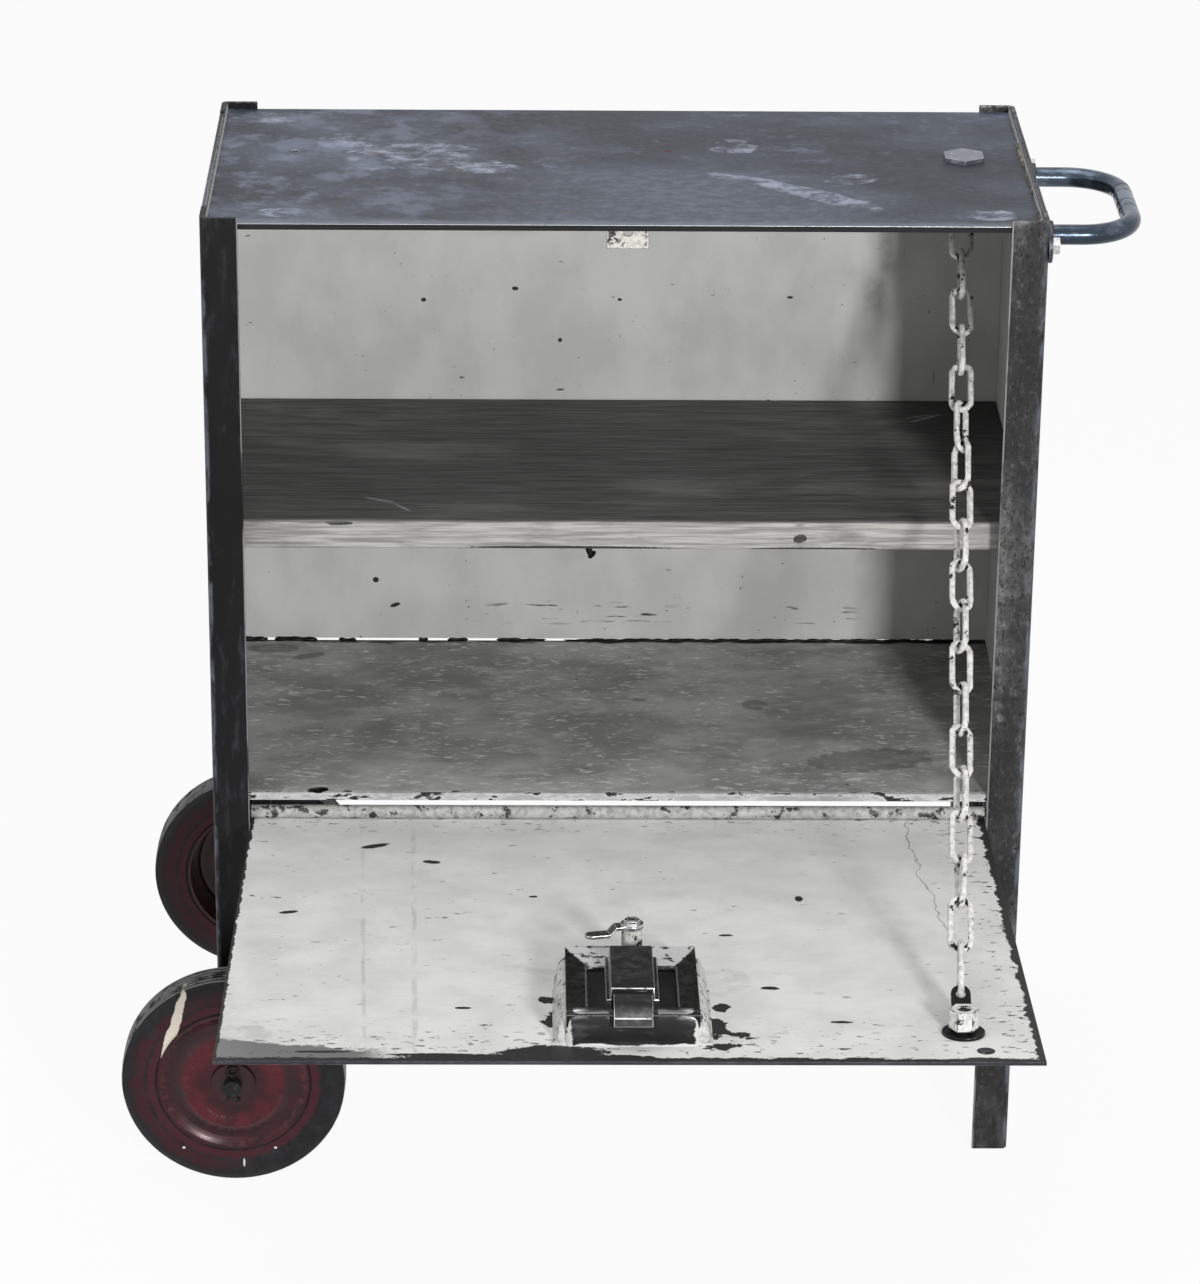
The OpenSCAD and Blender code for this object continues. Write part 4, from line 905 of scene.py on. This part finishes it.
def bead(name: str, path: np.ndarray, radius: float, seed: int, finish: Finish) -> bpy.types.Object:
    """A weld bead on the case: a tube whose radius swells once per puddle, with small random lumps.

    Args:
        name: the piece's name.
        path: its points in case millimetres.
        radius: mean radius.
        seed: seed of the lumps.
        finish: its finish.
    Returns:
        The piece.
    """
    rng = np.random.default_rng(seed)
    steps = len(path)
    t = np.linspace(0, 1, steps)
    ends = np.sqrt(np.clip(1 - (2 * t - 1) ** 8, 0.02, 1))
    swell = 1 + 0.16 * np.sin(t * steps * 0.9) + rng.normal(0, 0.07, steps)
    return dress(swept(name, tube(path, radius * ends * swell, 10)), finish, "case", "bare_steel")


class Assembly:
    """A sub-assembly: CAD nodes that only get a finish, and shapes that are modelled here."""

    nodes: ClassVar[tuple] = ()

    def shapes(self) -> None:
        """Adds the shapes that are modelled here."""

    def build(self) -> None:
        """Dresses the CAD nodes, given as rows of finish, bevel and names, and adds the shapes."""
        for finish, bevel, *names in self.nodes:
            for name in names:
                carried(name, finish, bevel)
        self.shapes()
        log.info("%s built", type(self).__name__)


@dataclass
class Case(Assembly):
    """The fixed steel box: posts, rails, sheets, floor and striker, its welds and the crust along the floor's rear."""

    width: float = 760.0
    bead_runs: tuple = ((238, 250), (178, 236), (118, 160), (98, 106), (18, 46))
    bead_inset: float = 6.6
    bead_z: float = 936.0
    bead_radius: float = 1.7
    crust_runs: tuple = ((7, 33), (41, 84), (105, 123), (185, 195), (214, 235), (263, 313), (330, 751))
    crust_y: float = 349.6
    crust_z: float = 385.0
    crust_radii: tuple = (2.4, 2.4, 1.5, 1.5, 1.5, 1.5, 1.5)
    nodes: ClassVar[tuple] = (
        (PostSteel(), 0.9, "front_left_post", "rear_left_post", "front_right_post", "rear_right_post"),
        (STEELS["rail"], 0.7, "left_top_rail", "right_top_rail"),
        (Paint("left_sheet_paint", Side.RIGHT, 5.7), 0.4, "left_side_sheet"),
        (Paint("right_sheet_paint", Side.LEFT, 754.3), 0.4, "right_side_sheet"),
        (Paint("back_panel_paint", Side.FRONT, 351.3), 0.4, "back_panel"),
        (TopPatina(), 0.5, "top_sheet"),
        (FloorPaint(), 0.4, "floor_sheet"),
        (Chipped("striker_paint", gone=0.56, size=8.0), 0.4, "striker_tab"),
        (STEELS["rod"], 0.5, "shelf_cleats", "hinge_rod"),
    )

    def shapes(self) -> None:
        """Adds the weld beads of the top and the crust at the floor's rear edge."""
        for k, (y0, y1) in enumerate(self.bead_runs):
            y = np.linspace(y0, y1, max(8, int((y1 - y0) * 1.4)))
            path = grid(self.width - self.bead_inset, y, self.bead_z)
            bead(f"top_weld_{k}", path, self.bead_radius, 40 + k, STEELS["bead"])
        for k, ((x0, x1), radius) in enumerate(zip(self.crust_runs, self.crust_radii)):
            x = np.linspace(x0, x1, max(10, int((x1 - x0) / 2.2)))
            path = grid(x, self.crust_y, self.crust_z + 0.3 * np.sin(x / 7.0))
            bead(f"rear_crust_{k}", path, radius, 70 + k, STEELS["black"])


@dataclass
class Shelf(Assembly):
    """The weathered board with raised grain, softened edges and one bent nail under its front."""

    x0: float = 7.0
    x1: float = 753.0
    y0: float = 25.0
    y1: float = 350.0
    z0: float = 615.0
    z1: float = 642.0
    soft: float = 2.2
    nail: tuple = (350.0, 29.0, 616.0)
    nail_bend: float = 5.0
    nail_drop: float = 9.5
    nail_shank: float = 3.0
    nail_head: float = 4.6
    dents: tuple = ((95, 30, 1.1), (250, 12, 0.9), (480, 26, 0.8), (545, 7, 1.2), (700, 20, 1.3))

    def outline(self) -> np.ndarray:
        """The board's cross-section in y and z: a rectangle with quarter-round corners, evenly filled."""
        corners = np.array([(self.y0, self.z0), (self.y1, self.z0), (self.y1, self.z1), (self.y0, self.z1)])
        centre = corners.mean(0)
        points = []
        for k, count in enumerate((30, 12, 90, 14)):
            corner, after = corners[k], corners[(k + 1) % 4]
            angle = np.radians(np.linspace(180 + 90 * k, 270 + 90 * k, 5))
            arc = corner + np.sign(centre - corner) * self.soft + self.soft * grid(np.cos(angle), np.sin(angle))
            length = np.linalg.norm(after - corner)
            side = (after - corner) / length * (length - 2 * self.soft)
            points += [arc, arc[-1] + np.linspace(0, 1, count + 1)[1:-1, None] * side]
        return np.concatenate(points)

    def board(self) -> None:
        """Carries the section along x, with grain lines as shallow waves and dents along the front edge."""
        section = self.outline()
        y, z = section.T
        x = np.linspace(self.x0 + 0.3, self.x1 - 0.3, 240)[:, None]
        phase = np.random.default_rng(5).uniform(0, 6.28, 6)
        wave = sum(np.sin(x / (40 + 23 * k) + y / (3.1 + k) + phase[k]) for k in range(6)) / 6
        dent = sum(deep * np.exp(-(((x - at) / wide) ** 2)) for at, wide, deep in self.dents)
        inward_y = np.where(y < self.y0 + 4, 1.0, 0.0)
        inward_z = np.where(z > self.z1 - 0.1, -1.0, np.where(z < self.z0 + 0.1, 0.3, 0.0))
        edge = np.exp(-((y - self.y0) ** 2 + (z - self.z1) ** 2) / 30)
        depth = np.clip(0.18 + 0.16 * wave + dent * edge, 0, 2)
        points = grid(x, y + inward_y * depth, z + inward_z * depth)
        dress(swept("shelf_board_worn", points), Board(), "case", "shelf_wood", "shelf_board")

    def shapes(self) -> None:
        """Adds the board and the nail."""
        self.board()
        t = np.linspace(0, 1, 14)
        x, y, z = self.nail
        path = grid(x + self.nail_bend * t ** 2, y, z - self.nail_drop * t)
        round_end = np.sqrt(np.clip(1 - np.clip((t - 0.8) / 0.2, 0, 1) ** 3, 0.05, 1))
        radius = np.where(t > 0.72, self.nail_head, self.nail_shank) * round_end
        dress(swept("shelf_nail", tube(path, radius, 14)), STEELS["black"], "case", "bare_steel")


@dataclass
class Wheels(Assembly):
    """Two wheels on one axle: pressed red discs and ribbed rubber tyres."""

    outer: float = 106.0
    rim: float = 72.0
    width: float = 38.0
    shoulder: float = 4.5
    grooves: tuple = (-11.0, -5.5, 0.0, 5.5, 11.0)
    groove_half: float = 1.3
    groove_deep: float = 2.4
    middles: tuple = (("front", -46.0), ("rear", 403.0))
    nodes: ClassVar[tuple] = (
        (WheelRed(), 0.3, "front_wheel_disc", "rear_wheel_disc"),
        (WheelRed(), 0.5, "axle_washers"),
        (STEELS["axle"], 0.5, "axle", "axle_spacers"),
        (STEELS["axle"], 0.0, "split_pins"),
    )

    def section(self) -> np.ndarray:
        """The tyre's section as radius and width: flat sides with a bead line, round shoulders, grooved tread."""
        half = self.width / 2
        tread = np.linspace(-half + self.shoulder, half - self.shoulder, 68)
        cut = sum(np.exp(-((np.abs(tread - g) / self.groove_half) ** 4)) for g in self.grooves)
        radius = self.outer - self.groove_deep * np.clip(cut, 0, 1) - 0.6 * (tread / half) ** 2
        r = np.array([self.rim, 73.2, 74.2, 80, 86, 92, 98, 101.5, 103.6])
        side = grid(r, half - np.array([1.4, 1.4, 0.2, 0, 0, 0, 0.7, 2.0, 3.6]))
        return np.concatenate([side, grid(radius, tread)[::-1], side[::-1] * [1, -1]])

    def shapes(self) -> None:
        """Turns the section round the axle for each tyre."""
        r, w = self.section().T
        turn = np.linspace(0, 2 * np.pi, 168, endpoint=False)[:, None]
        for name, middle in self.middles:
            points = grid(AXLE_X + r * np.cos(turn), middle + w, AXLE_Z + r * np.sin(turn))
            dress(swept(f"{name}_tyre_ribbed", points, True), Rubber(), f"{name}_wheel", "tyre_rubber", f"{name}_tyre")


@dataclass
class Handle(Assembly):
    """The bent tube with creases where it was bent, its strap, bolts and weld beads."""

    front_y: float = 49.0
    rear_y: float = 219.0
    z: float = 914.0
    root_x: float = 763.6
    bow_x: float = 844.0
    radius: float = 9.25
    bend: float = 50.0
    creases: tuple = (112, 128, 156, 171)
    crease_half: float = 1.6
    crease_deep: float = 0.7
    weld_ring: float = 10.4
    weld_radius: float = 2.3
    nodes: ClassVar[tuple] = (
        (STEELS["rail"], 0.7, "handle_strap"),
        (STEELS["zinc"], 0.6, "handle_bolts", "handle_nuts"),
    )

    def path(self) -> np.ndarray:
        """The tube's middle: leg, quarter circle, bow, quarter circle and leg."""
        a = np.radians(np.linspace(-90, 0, 30))
        leg = np.linspace(self.root_x, self.bow_x - self.bend, 16)[:-1]
        bow = np.linspace(self.front_y + self.bend, self.rear_y - self.bend, 40)[1:-1]
        first = grid(self.bow_x - self.bend * (1 - np.cos(a)), self.front_y + self.bend * (1 + np.sin(a)))
        second = grid(first[::-1, 0], self.rear_y + self.front_y - first[::-1, 1])
        flat = np.concatenate([grid(leg, self.front_y), first, grid(self.bow_x, bow), second,
                               grid(leg[::-1], self.rear_y)])
        return np.column_stack([flat, np.full(len(flat), self.z)])

    def shapes(self) -> None:
        """Sweeps the tube with its creases and adds a weld round each root."""
        path = self.path()
        along = np.concatenate([[0], np.cumsum(np.linalg.norm(np.diff(path, axis=0), axis=1))])
        even = np.linspace(0, along[-1], 220)
        path = grid(*(np.interp(even, along, axis) for axis in path.T))
        x, y, _ = path.T
        dip = sum(np.exp(-(((y - at) / self.crease_half) ** 2)) * (x > self.bow_x - 12) for at in self.creases)
        points = tube(path, self.radius - self.crease_deep * dip, 28)
        dress(swept("handle_bar_bent", points), STEELS["handle"], "case", "bare_steel", "handle_bar")
        turn = np.linspace(0, 2 * np.pi, 40)
        for k, y in enumerate((self.front_y, self.rear_y)):
            ring = grid(self.root_x + 2.0, y + self.weld_ring * np.cos(turn), self.z + self.weld_ring * np.sin(turn))
            bead(f"handle_weld_{k}", ring, self.weld_radius, 60 + k, STEELS["rod"])


@dataclass
class ChainStay(Assembly):
    """The eye bolt in the top, the painted chain, and the bolt, washer and bent tab on the door."""

    eye: tuple = (699.0, 205.0, 879.8)
    tab_open: tuple = (661.0, -476.0, 414.0)
    tab_closed: tuple = (661.0, 24.5, 843.5)
    keep: float = 0.204
    twist: float = math.radians(24)
    lump: float = 0.00016
    touch: float = 0.003
    nodes: ClassVar[tuple] = (
        (STEELS["bolt"], 0.8, "chain_eye_bolt"),
        (STEELS["rod"], 0.6, "chain_eye_nut"),
        (STEELS["dark"], 0.5, "chain_anchor_bolt"),
        (STEELS["black"], 0.4, "chain_anchor_washer"),
        (STEELS["black"], 0.5, "chain_tab"),
        (Chipped("nut_paint", (222, 222, 218), 44, 8.0, 0.58), 0.6, "chain_anchor_nut"),
    )

    def twisted(self, at: np.ndarray) -> np.ndarray:
        """Points turned about the line from tab to eye: by the whole twist in the middle, by nothing at the ends."""
        low, high = metres(self.tab_open), metres(self.eye)
        length = np.linalg.norm(high - low)
        axis = (high - low) / length
        along = (at - low) @ axis
        share = along / length
        angle = (self.twist * eased(np.minimum(share - 0.04, 0.96 - share) * 6))[:, None]
        foot = low + along[:, None] * axis
        arm = at - foot
        return foot + np.cos(angle) * arm + np.sin(angle) * np.cross(axis, arm)

    def touching(self, bm: bmesh.types.BMesh, at: np.ndarray) -> np.ndarray:
        """1 at vertices close to another link; the links are told apart by the lowest index each is joined to."""
        pairs = np.array([[v.index for v in edge.verts] for edge in bm.edges])
        label, before = np.arange(len(at)), None
        while before is None or (label != before).any():
            before = label.copy()
            small = np.minimum(label[pairs[:, 0]], label[pairs[:, 1]])
            np.minimum.at(label, pairs[:, 0], small)
            np.minimum.at(label, pairs[:, 1], small)
            label = label[label]
        tree = KDTree(len(at))
        for k, point in enumerate(at):
            tree.insert(point, k)
        tree.balance()
        return np.array([float(any(label[j] != label[k] for _, j, _ in tree.find_range(point, self.touch)))
                         for k, point in enumerate(at)])

    def shapes(self) -> None:
        """Adds the chain, a little twisted and with lumpy paint: points move along their normals by three sines."""
        bm = node_copy("door_chain")
        bm.normal_update()
        at = np.array([v.co for v in bm.verts])
        normal = np.array([v.normal for v in bm.verts])
        mm = at * 1000
        lump = np.sin(mm @ [0.9, 0.7, 0.5]) + np.sin(mm @ [-0.6, 1.1, 0.8] + 2) + np.sin(mm @ [0.4, -0.9, 1.3] + 4)
        moved = self.twisted(at + normal * (lump * self.lump)[:, None])
        layer = bm.verts.layers.float.new("worn")
        for vert, co, near in zip(bm.verts, np.clip(moved, at.min(0), at.max(0)), self.touching(bm, at)):
            vert.co = co
            vert[layer] = near
        finish = Chipped("chain_paint_finish", (212, 211, 208), 38, 15.0, 0.575)
        obj = dress(finish_mesh("door_chain_painted", bm, 60.0), finish, "case", "chain_paint", "door_chain")
        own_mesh(obj)


@dataclass
class Door(Assembly):
    """The drop-down plate with its sleeve, and the flake of paint caught on the floor's hem."""

    flake: tuple = (98.0, 10.0, 376.4)
    flake_long: float = 9.0
    flake_wide: float = 15.0
    nodes: ClassVar[tuple] = (
        (DoorPaint("door_plate_paint", Side.DOOR_INNER, 1.3), 0.5, "door_plate"),
        (Chipped("sleeve_paint", (176, 176, 173), (66, 65, 64), 13.0, 0.56), 0.6, "hinge_sleeve"),
    )

    def shapes(self) -> None:
        """Adds the flake: ragged rings out along its top and back along its underside, bent by a sine."""
        rng = np.random.default_rng(90)
        turn = np.linspace(0, 2 * np.pi, 22, endpoint=False)
        ragged = 1 + 0.18 * np.sin(3 * turn) + rng.normal(0, 0.06, 22)
        share = np.array([0.08, 0.5, 0.85, 1.0, 0.85, 0.5, 0.08])[:, None]
        lift = np.array([0.9, 1.1, 0.5, 0.0, 0.1, 0.6, 0.4])[:, None]
        x, y, z = self.flake
        rings = grid(x + self.flake_long * share * ragged * np.cos(turn),
                     y + self.flake_wide * share * ragged * np.sin(turn) * 0.4,
                     z + lift + 0.6 * np.sin(2 * turn) * share)
        dress(swept("paint_flake_0", rings), STEELS["black"], "case", "floor_paint")


@dataclass
class Latch(Assembly):
    """The pressed pan, the bolt's housing, the bolt and the paddle with its pin and spring."""

    half: float = 56.3
    front_s: float = 541.4
    crown_n: float = 32.4
    notch_n: float = 21.0
    notch_half: float = 17.3
    notch_soft: float = 3.2
    foot_n: float = 1.6
    flank_run: tuple = (397.0, 550.0)
    flank_wide: float = 12.0
    flank_high: float = 23.5
    slot_run: tuple = (441.0, 539.0)
    slot_out: float = 30.0
    slot_half: float = 10.5
    slot_n: float = 24.6
    nodes: ClassVar[tuple] = (
        (LatchPan(), 0.9, "latch_pan"),
        (STEELS["housing"], 0.8, "latch_housing"),
        (BoltSteel(), 0.8, "latch_bolt"),
        (STEELS["black"], 0.4, "latch_paddle"),
        (STEELS["rod"], 0.4, "paddle_pin"),
        (STEELS["black"], 0.0, "paddle_spring"),
    )

    def front_bar(self) -> None:
        """The pan's rounded front: a section carried along x, hollow behind the bolt, lowered in the bolt's notch.

        The section's height falls with a superellipse towards both ends, so the corners are round.
        """
        x = LATCH_X + self.half * np.sin(np.linspace(-np.pi / 2, np.pi / 2, 90))[:, None]
        a = np.radians(np.linspace(90, 4, 18))
        inner = [[8.5, self.foot_n], [8.5, 14.6], [0.0, 15.2], [0.0, 18.0], [-0.3, 28.2], [-0.2, 29.6],
                 [1.2, 31.6], [3.2, self.crown_n]]
        front = grid(5.6 + 6.8 * np.cos(a) ** 0.7, self.foot_n + (self.crown_n - self.foot_n) * np.sin(a))
        out, up = np.concatenate([inner, front, [[13.0, self.foot_n]]]).T
        across = np.abs(x - LATCH_X)
        ends = np.clip(1 - (across / self.half) ** 26, 0, 1) ** 0.35
        top = self.notch_n + (self.crown_n - self.notch_n) * eased((across - self.notch_half) / self.notch_soft)
        n = np.minimum(self.foot_n + (up - self.foot_n) * ends, top)
        s = self.front_s + out * (0.35 + 0.65 * ends)
        dress(swept("latch_front_bar", on_door(x, s, n)), PressedBar(), "door", "dark_steel")

    def flanks(self) -> None:
        """The pan's rounded sides: a quarter-round section carried along s, painted pale and chipped."""
        a = np.radians(np.linspace(0, 88, 14))
        out = np.concatenate([self.flank_wide * np.cos(a), [0.0, 0.0]])
        up = np.concatenate([self.flank_high * np.sin(a), [18.0, 0.0]])
        s = np.linspace(*self.flank_run, 70)[:, None]
        along = np.abs(2 * s - sum(self.flank_run)) / np.ptp(self.flank_run)
        ends = np.clip(1 - along ** 12, 0, 1) ** 0.4
        paint = Chipped("flank_paint", (206, 206, 203), 44, 12.0, 0.57)
        for k, side in enumerate((-1, 1)):
            x = LATCH_X + side * (self.half - 2.8 + out * (0.4 + 0.6 * ends))
            n = 1.7 + up * ends * (1 + 0.03 * np.sin(s / 9.0 + k))
            dress(swept(f"latch_flank_{k}", on_door(x, s, n)), paint, "door", "door_paint")

    def slot_plates(self) -> None:
        """The dark plates below the pan's two slots: a thin rounded section carried along s, dished by a sine."""
        a = np.linspace(0, 2 * np.pi, 20, endpoint=False)
        across = self.slot_half * np.sign(np.cos(a)) * np.abs(np.cos(a)) ** 0.3
        thick = 0.7 * np.sign(np.sin(a)) * np.abs(np.sin(a)) ** 0.5
        s = np.linspace(*self.slot_run, 40)[:, None]
        n = self.slot_n + thick - 0.8 * np.sin((s - self.slot_run[0]) / np.ptp(self.slot_run) * np.pi)
        for k, side in enumerate((-1, 1)):
            piece = swept(f"latch_slot_plate_{k}", on_door(LATCH_X + side * self.slot_out + across, s, n))
            dress(piece, STEELS["black"], "door", "dark_steel")

    def shapes(self) -> None:
        """Adds the pan's front, sides and slot plates."""
        self.front_bar()
        self.flanks()
        self.slot_plates()


@dataclass
class Lock(Assembly):
    """The cam lock: barrel, nut, plug, lever and the lever's nut."""

    nodes: ClassVar[tuple] = (
        (Chipped("barrel_paint", (196, 196, 193), 34, 11.0, 0.53), 0.4, "lock_barrel"),
        (STEELS["dark"], 0.5, "lock_barrel_nut"),
        (STEELS["lock"], 0.3, "lock_plug"),
        (STEELS["lock"], 0.5, "lock_cam", "lock_cam_nut"),
    )


@dataclass
class Studio:
    """The camera at the photograph's place, the pale floor and the soft lamps."""

    place: tuple = (-0.0907, -4.0731, 2.3090)
    pitch: float = 0.405
    yaw: float = 0.0168
    roll: float = 0.0098
    lens: float = 136.70
    sensor: float = 36.0
    fill: float = 0.42
    floor_half: float = 14.0
    floor_drop: float = 0.0005
    floor_tone: float = 0.82
    floor_glow: float = 0.93
    key_azimuth: float = 18.0
    key_elevation: float = 17.0
    key_far: float = 4.6
    key_aim: tuple = (0.0, 0.1, 0.6)
    key_size: tuple = (0.5, 0.5)
    key_power: float = 155.0
    boxes: tuple = (("overhead", (-0.3, 0.3, 3.4), (0, 0.1, 0.9), (2.2, 1.6), 26.0),
                    ("left_box", (-3.2, -1.4, 1.6), (0, 0, 0.6), (0.8, 2.2), 22.0))

    def camera(self) -> None:
        """A camera whose axes come from pitch, yaw and roll."""
        cp, sp, cy, sy = math.cos(self.pitch), math.sin(self.pitch), math.cos(self.yaw), math.sin(self.yaw)
        ahead = Vector((sy * cp, cy * cp, -sp))
        level = Vector((cy, -sy, 0.0))
        upright = level.cross(ahead)
        c, s = math.cos(self.roll), math.sin(self.roll)
        data = bpy.data.cameras.new("camera")
        data.lens, data.sensor_width, data.clip_end = self.lens, self.sensor, 100.0
        obj = linked("camera", data)
        turned = Matrix((level * c + upright * s, upright * c - level * s, -ahead)).transposed().to_4x4()
        obj.matrix_world = Matrix.Translation(self.place) @ turned
        bpy.context.scene.camera = obj

    def lamp(self, name: str, at: tuple, target: tuple, size: tuple, power: float) -> None:
        """A rectangular lamp at a point, turned to a target."""
        data = bpy.data.lights.new(name, "AREA")
        data.shape = "RECTANGLE"
        data.size, data.size_y = size
        data.energy = power
        obj = linked(name, data)
        obj.location = at
        obj.rotation_euler = (Vector(target) - Vector(at)).to_track_quat("-Z", "Y").to_euler()

    def sky(self) -> None:
        """A white background at strength 1 where it is seen, and a dimmer one as fill light."""
        world = bpy.data.worlds.new("studio")
        net = Net(world)
        fill, shown = (net.node("Background", {0: ink(255), 1: strength}) for strength in (self.fill, 1.0))
        net.blend("OutputWorld", net.seen(), fill, shown)
        bpy.context.scene.world = world

    def ground(self) -> None:
        """A wide pale floor that shows nearly white and still takes the object's shadow."""
        mesh = bpy.data.meshes.new("ground")
        corners = np.array([[-1, -1, 0], [1, -1, 0], [1, 1, 0], [-1, 1, 0]]) * self.floor_half
        mesh.from_pydata(corners.tolist(), [], [(0, 1, 2, 3)])
        obj = linked("ground", mesh)
        obj.location.z = -self.floor_drop
        net = Net(bpy.data.materials.new("pale_floor"))
        dull = net.node("BsdfDiffuse", {0: (self.floor_tone,) * 3 + (1.0,)})
        net.blend("OutputMaterial", net.seen() * self.floor_glow, dull, net.node("Emission", {}))
        mesh.materials.append(net.owner)

    def build(self) -> None:
        """Sets camera, background, floor, key lamp and two soft boxes."""
        self.camera()
        self.sky()
        self.ground()
        a, e = math.radians(self.key_azimuth), math.radians(self.key_elevation)
        way = Vector((math.sin(a) * math.cos(e), -math.cos(a) * math.cos(e), math.sin(e)))
        self.lamp("key", tuple(Vector(self.key_aim) + self.key_far * way), self.key_aim, self.key_size, self.key_power)
        for box in self.boxes:
            self.lamp(*box)
        log.info("studio set")


def main() -> None:
    logging.basicConfig(level=logging.INFO, format="%(message)s")
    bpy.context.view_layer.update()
    scene = bpy.context.scene
    scene.view_settings.view_transform = "Standard"
    Studio().build()
    for part in (Case(), Shelf(), Wheels(), Handle(), ChainStay(), Door(), Latch(), Lock()):
        part.build()


if __name__ == "__main__":
    main()
